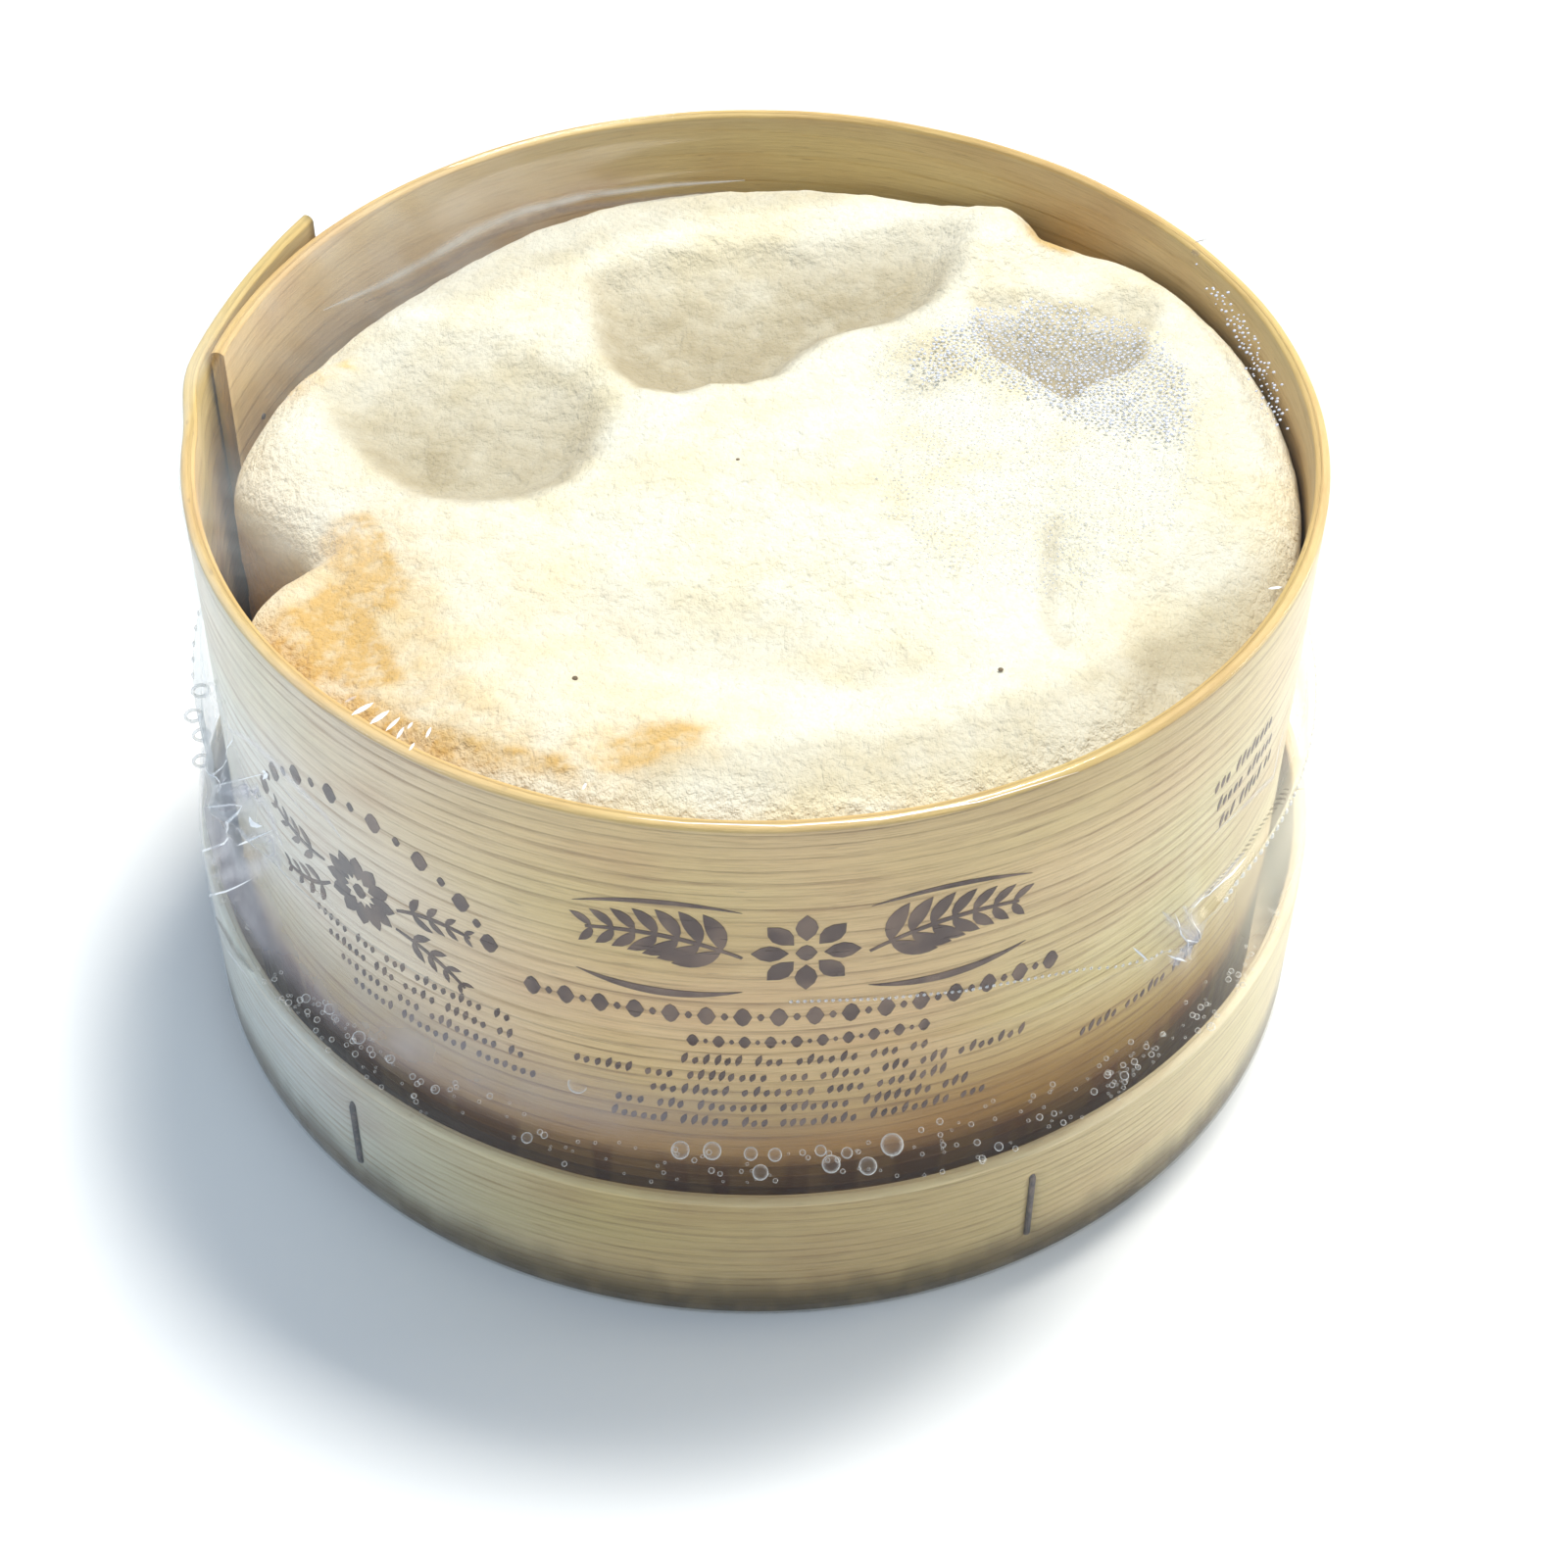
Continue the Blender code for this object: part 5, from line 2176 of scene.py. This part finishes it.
class Mark(Enum):
    """Kinds of stroke on the film, each with its finish."""

    # Painted highlights on folds and edges.
    GLINT = FoldedFilm("film_glints", cover=1.1, blur=0.45)
    # Folds of film, partly painted reflection.
    SOFT = FoldedFilm("film_folds_and_sheen", (0.70, 0.68, 0.72), 0.36, 1.0, 500.0)
    BROWN = FoldedFilm("film_windows", (0.34, 0.23, 0.13), 0.5, 1.0, 500.0)
    # A fold's painted reflection.
    FOLD_SHEEN_BAND = FoldedFilm("film_fold_sheen", (0.40, 0.38, 0.34), 0.60, 1.0, 300.0, 0.8)
    # Painted shadows, and the dark ticks of the weld seam.
    DARK = FoldedFilm("film_shadows", (0.16, 0.13, 0.11), 0.5, 1.0, 500.0, 0.8)


# Strokes on the film by kind: the width in millimetres, and the spots of the picture that it runs through.
Drawn = tuple[float, Spots]
SIDE_MARKS: dict[Mark, tuple[Drawn, ...]] = {
    # Painted highlights: bright lines and glints on the left ear, the lid's lit top edge and the right tuft.
    Mark.GLINT: (
        (0.30, ((224, 776), (228, 811), (233, 843), (231, 860), (214, 886), (207, 896), (215, 909))),
        (0.24, ((227, 735), (231, 747), (234, 778), (239, 794), (251, 802))),
        (0.34, ((274, 849), (245, 862))),
        (0.26, ((217, 915), (245, 905), (259, 896))),
        (0.90, ((246, 797), (253, 802))),
        (0.90, ((257, 832), (267, 843))),
        (0.26, ((217, 921), (224, 945), (234, 970), (257, 1000))),
        (0.26, ((1268, 872), (1253, 890), (1237, 907), (1222, 918), (1212, 930))),
        (0.40, ((1188, 972), (1209, 980))),
        (0.30, ((1155, 966), (1164, 974))),
        (0.20, ((1196, 930), (1192, 944), (1198, 958))),
        (0.20, ((1212, 930), (1204, 944), (1208, 960), (1202, 972))),
    ),
    # Soft folds of film, partly painted reflection, at the left ear and down the right.
    Mark.SOFT: (
        (2.40, ((232, 741), (261, 758), (292, 788), (333, 831), (350, 855))),
        (0.90, ((290, 802), (316, 835))),
        (4.20, ((228, 790), (236, 830), (232, 884))),
        (3.40, ((236, 890), (262, 886), (284, 868))),
        (2.40, ((240, 800), (268, 822), (290, 862))),
        (2.40, ((252, 840), (276, 856), (296, 884))),
        (1.20, ((1312, 735), (1299, 792), (1237, 850))),
        (4.00, ((1203, 922), (1196, 950), (1200, 984))),
        (2.40, ((1188, 932), (1204, 955), (1214, 978))),
        (1.60, ((1212, 925), (1240, 900), (1268, 868))),
    ),
    Mark.BROWN: (
        (3.20, ((250, 874), (275, 866))),
    ),
    # Painted shadows in the folds at the left and in the right tuft.
    Mark.DARK: (
        (1.80, ((236, 800), (250, 832), (254, 846))),
        (2.60, ((222, 936), (240, 966), (262, 990))),
        (0.50, ((1208, 934), (1205, 958), (1210, 972))),
    ),
}
TOP_MARKS: dict[Mark, tuple[Drawn, ...]] = {
    # A fold at the back left whose grey-white is a painted reflection.
    Mark.FOLD_SHEEN_BAND: (
        (1.80, (
            (330, 318), (386, 293), (436, 266), (486, 236), (535, 216), (602, 200), (684, 190),
            (760, 185),
        )),
    ),
    # Painted shadow under that fold, and at the strip's end on the right of the rim.
    Mark.DARK: (
        (2.20, (
            (372, 310), (419, 291), (456, 270), (495, 245), (522, 231), (568, 216), (635, 208),
            (740, 196),
        )),
        (1.00, ((1219, 249), (1232, 244))),
        (1.40, ((1216, 256), (1224, 262))),
    ),
    # Painted highlights along the front rim and on the short wrinkles inside it at the front left.
    Mark.GLINT: (
        (0.22, ((640, 835), (700, 841), (800, 844), (900, 837), (1000, 819), (1100, 789))),
        (0.75, ((359, 731), (381, 718))),
        (0.75, ((378, 740), (397, 726))),
        (0.50, ((394, 747), (408, 733))),
        (0.42, ((405, 755), (412, 743))),
        (0.35, ((416, 745), (421, 738))),
        (0.35, ((418, 767), (423, 759))),
        (0.38, ((435, 754), (440, 743))),
        (0.35, ((595, 807), (598, 800))),
        (0.50, ((1294, 602), (1308, 600))),
    ),
    # A soft fold among those wrinkles, partly painted highlight.
    Mark.SOFT: (
        (0.70, ((352, 718), (364, 711))),
    ),
}


@dataclass
class FilmTrim:
    """The film's beads, folds and glints, laid where the picture shows them."""

    film: Film
    raised: float = 0.05 * MM
    pixel_step: float = 5.0
    tick_step: float = 6.0
    dot_step: float = 7.0
    half_tick: Place = (3.0, -1.5)
    bead_runs: tuple[tuple[float, float, float], ...] = ((322.0, 392.0, 1.25), (148.0, 190.0, 2.3))
    bead: float = 0.36 * MM
    dot: float = 0.20 * MM
    loop: float = 0.85 * MM
    seam_ticks: Spots = ((1309, 803), (1293, 830), (1268, 867), (1245, 893), (1231, 909))
    dotted_line: Spots = ((1189, 967), (1120, 986), (984, 1011), (900, 1019), (807, 1022))
    loops: Spots = ((210, 704), (211, 728), (210, 749), (213, 775))

    @staticmethod
    def drawn(spots: Spots, step: float) -> Spots:
        """More spots along the line through some.

        Args:
            spots: Spots of the picture.
            step: Distance between the new ones, in pixels.

        Returns:
            The spots.
        """
        found = np.array(spots, dtype=float)
        reach = np.concatenate([[0.0], np.cumsum(np.hypot(*np.diff(found, axis=0).T))])
        fine = np.linspace(0.0, reach[-1], max(5, int(reach[-1] / step)))
        return tuple(zip(np.interp(fine, reach, found[:, 0]), np.interp(fine, reach, found[:, 1])))

    def surface(self, angle: Array, height: Array) -> Array:
        """Radius of the film's side, with its creases and seam."""
        seam = self.film.seam_proud * bell(height - self.film.seam(angle), 0.75 * MM)
        return self.film.side(angle, height) + self.film.fans(angle, height) + seam + self.film.thickness

    def lay_side(self, places: Array, lift: float) -> Array:
        """Lay places on the film's side."""
        angle, height = places[:, 0] / MM, places[:, 1]
        return around(angle, self.surface(angle, height) + 0.03 * MM + lift, height)

    def lay_top(self, places: Array, lift: float) -> Array:
        """Lay places on the film's top."""
        height = self.film.top(places[:, 0], places[:, 1]) + self.film.thickness + lift
        return np.column_stack([places, height])

    def strokes(self) -> None:
        """Creases, shadows and glints of each kind, on the side and on the top."""
        ticks = np.array(self.drawn(self.seam_ticks, self.tick_step))
        short = tuple((0.45, (tick - self.half_tick, tick + self.half_tick)) for tick in ticks)
        to_side = np.array([1.0 * MM, 1.0])
        for mark in Mark:
            # The seam's dark ticks are drawn with the painted shadows.
            on_side = SIDE_MARKS.get(mark, ()) + (short if mark is Mark.DARK else ())
            for part, marks in (("side", on_side), ("top", TOP_MARKS.get(mark, ()))):
                lines = []
                widths = []
                for width, spots in marks:
                    fine = self.drawn(spots, self.pixel_step)
                    if part == "side":
                        line = SIGHT.against(fine, self.film.side) * to_side
                    else:
                        line = SIGHT.upon(fine, self.film.top)
                    share = np.linspace(0.0, 1.0, len(line))
                    lines.append(line)
                    widths.append(width * MM * np.maximum(0.12, np.sin(np.pi * share) ** 0.6))
                if not lines:
                    continue
                lay = self.lay_side if part == "side" else self.lay_top
                made = stroke_mesh(f"{mark.value.name}_{part}", lines, widths, lay, self.raised)
                cast_nothing(made)
                settle(made, [mark.value.material()], "clear_film")

    def beads(self) -> None:
        """Small welded beads along the seam, and open loops at the left."""
        angle = np.concatenate([np.arange(*run) for run in self.bead_runs])
        height = self.film.seam(angle)
        dotted = SIGHT.against(self.drawn(self.dotted_line, self.dot_step), self.film.side)
        angle = np.concatenate([angle, dotted[:, 0]])
        height = np.concatenate([height, dotted[:, 1]])
        radii = np.concatenate([np.full(len(angle) - len(dotted), self.bead), np.full(len(dotted), self.dot)])
        face = self.surface(angle, height)
        out = around(angle, 1.0, 0.0)
        beads = scatter("seam_beads", dome(10, 0.8), around(angle, face - 0.1 * MM, height), out, radii)
        looped = SIGHT.against(self.loops, self.film.side)
        away = around(looped[:, 0], 1.0, 0.0)
        centres = around(looped[:, 0], self.surface(looped[:, 0], looped[:, 1]) + 0.5 * MM, looped[:, 1])
        along = away[:, [1, 0, 2]] * [-1.0, 1.0, 1.0]
        loops = scatter("seam_loops", ring(16, 0.24), centres, along, np.full(len(looped), self.loop))
        for made in (beads, loops):
            wet = Water(made.name + "_film", (0.90, 0.92, 0.95), 0.35, 0.5)
            settle(made, [wet.material()], "clear_film")

    def build(self) -> None:
        """Model all the trim."""
        self.strokes()
        self.beads()


@dataclass
class Specks:
    """A few dark specks on the rind."""

    cheese: Cheese
    places: tuple[tuple[float, float, float], ...] = (
        (-1.9, -2.9, 0.24), (-16.7, -36.5, 0.30), (23.9, -34.5, 0.28),
    )

    def build(self) -> Piece:
        """Model the specks.

        Returns:
            The piece.
        """
        spots = np.array(self.places)
        x, y = spots[:, 0] * MM, spots[:, 1] * MM
        centres = np.stack([x, y, self.cheese.height(x, y) - 0.1 * MM], axis=1)
        outs = np.tile([[0.0, 0.0, 1.0]], (len(spots), 1))
        made = scatter("rind_specks", dome(9, 0.5), centres, outs, spots[:, 2] * MM)
        return settle(made, [Ink((0.16, 0.11, 0.06), (0.30, 0.22, 0.12), "speck").material()], "rind")


@dataclass
class Boards:
    """The two plain boards, which keep their solids and get their finish."""

    nodes: tuple[str, ...] = ("box_floor", "lid_board")

    def dress(self) -> None:
        """Give each board its finish."""
        for node in self.nodes:
            solid = bpy.data.objects[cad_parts[node].name]
            solid.data.materials.clear()
            solid.data.materials.append(Board(node + "_spruce").material())
            LOG.info("%s: dressed", node)


@dataclass
class Studio:
    """Pale floor, soft light and the camera."""

    zenith: Colour = (0.56, 0.66, 0.77)
    horizon: Colour = (0.13, 0.16, 0.20)

    def floor(self) -> None:
        """A wide plain floor under the object."""
        half = 3.0
        corners = np.array([(-half, -half, 0.0), (half, -half, 0.0), (half, half, 0.0), (-half, half, 0.0)])
        made = mesh_object("floor", corners, [(0, 1, 2, 3)])
        made.location.z = -0.05 * MM
        made.data.materials.append(Tabletop().material())

    def lamp(self, name: str, place: Sequence[float], size: Place, power: float, colour: Colour) -> None:
        """An area light aimed at the object.

        Args:
            name: Its name.
            place: Where it stands, in metres.
            size: Its width and height.
            power: Its power in watts.
            colour: Its colour.
        """
        light = bpy.data.lights.new(name, "AREA")
        light.shape = "RECTANGLE"
        light.size, light.size_y = size
        light.energy = power
        light.color = colour
        made = bpy.data.objects.new(name, light)
        made.location = place
        aim = Vector((0.0, 0.0, 0.04)) - Vector(place)
        made.rotation_euler = aim.to_track_quat("-Z", "Y").to_euler()
        bpy.context.scene.collection.objects.link(made)

    def light(self) -> None:
        """A key from behind, a warm side light, a cool fill from the left and a paler sky overhead."""
        sky = Tree("sky", world=True)
        way = sky.value("ShaderNodeTexCoord", output="Generated")
        colour = sky.mix(sky.coordinate(way, "Z"), self.horizon, self.zenith)
        shader = sky.value("ShaderNodeBackground", sockets={"Color": colour})
        bpy.context.scene.world = sky.finish(shader, "World")
        self.lamp("key", (0.38, 0.66, 1.85), (0.46, 0.46), 40.0, (1.0, 0.97, 0.90))
        self.lamp("fill", (-1.05, -0.45, 0.40), (0.60, 0.40), 2.4, (0.78, 0.89, 1.0))
        self.lamp("side", (1.05, 0.26, 0.24), (0.50, 0.40), 5.0, (1.0, 0.94, 0.78))

    def camera(self) -> None:
        """The camera, at the photograph's angle."""
        lens = bpy.data.cameras.new("camera")
        lens.lens = SIGHT.lens
        lens.sensor_width = SIGHT.sensor
        lens.clip_start = 0.01
        made = bpy.data.objects.new("camera", lens)
        made.matrix_world = SIGHT.pose()
        bpy.context.scene.collection.objects.link(made)
        bpy.context.scene.camera = made

    def build(self) -> None:
        """Set the whole studio."""
        self.floor()
        self.light()
        self.camera()
        bpy.context.scene.view_settings.view_transform = "Standard"


def main() -> None:
    """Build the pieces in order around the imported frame."""
    logging.basicConfig(level=logging.INFO, format="%(name)s %(message)s")
    box_low, box_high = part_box("box_hoop")
    lid_low, lid_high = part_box("lid_hoop")
    cheese = Cheese(foot=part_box("cheese")[0].z)
    box = BoxHoop(
        "box_wall",
        "box_hoop",
        "box_veneer",
        face=58.9 * MM,
        foot=box_low.z,
        top=box_high.z,
        lap_start=170.0,
        lap_turn=25.0,
    )
    staples = (228.8, 297.9, 88.0, 72.0)
    lid = LidHoop(
        "lid_wall",
        "lid_hoop",
        "lid_veneer",
        face=63.2 * MM,
        foot=lid_low.z,
        top=lid_high.z,
        lap_start=95.0,
        lap_turn=30.0,
        staple_angles=staples,
        board_top=box_low.z,
    )
    film = Film(cheese, box, lid.face, lid.top, box.top)
    Studio().build()
    cheese.build()
    Specks(cheese).build()
    box.build()
    lid.build()
    Boards().dress()
    wires = Staples()
    for number, angle in enumerate(staples, 1):
        leg = 2.4 * MM if number < 3 else 3.5 * MM
        wires.build(f"lid_staple_{number}", angle, lid.staple_middle, lid.face, leg)
    for number, (angle, height) in enumerate(((163.0, 50.0 * MM), (153.0, 27.0 * MM)), 1):
        face = float(box.outside(np.array(angle), np.array(height)))
        wires.build(f"box_staple_{number}", angle, height, face, 3.5 * MM)
    Print(box.face).build()
    film.build()
    Moisture(film).build()
    FilmTrim(film).build()


if __name__ == "__main__":
    main()
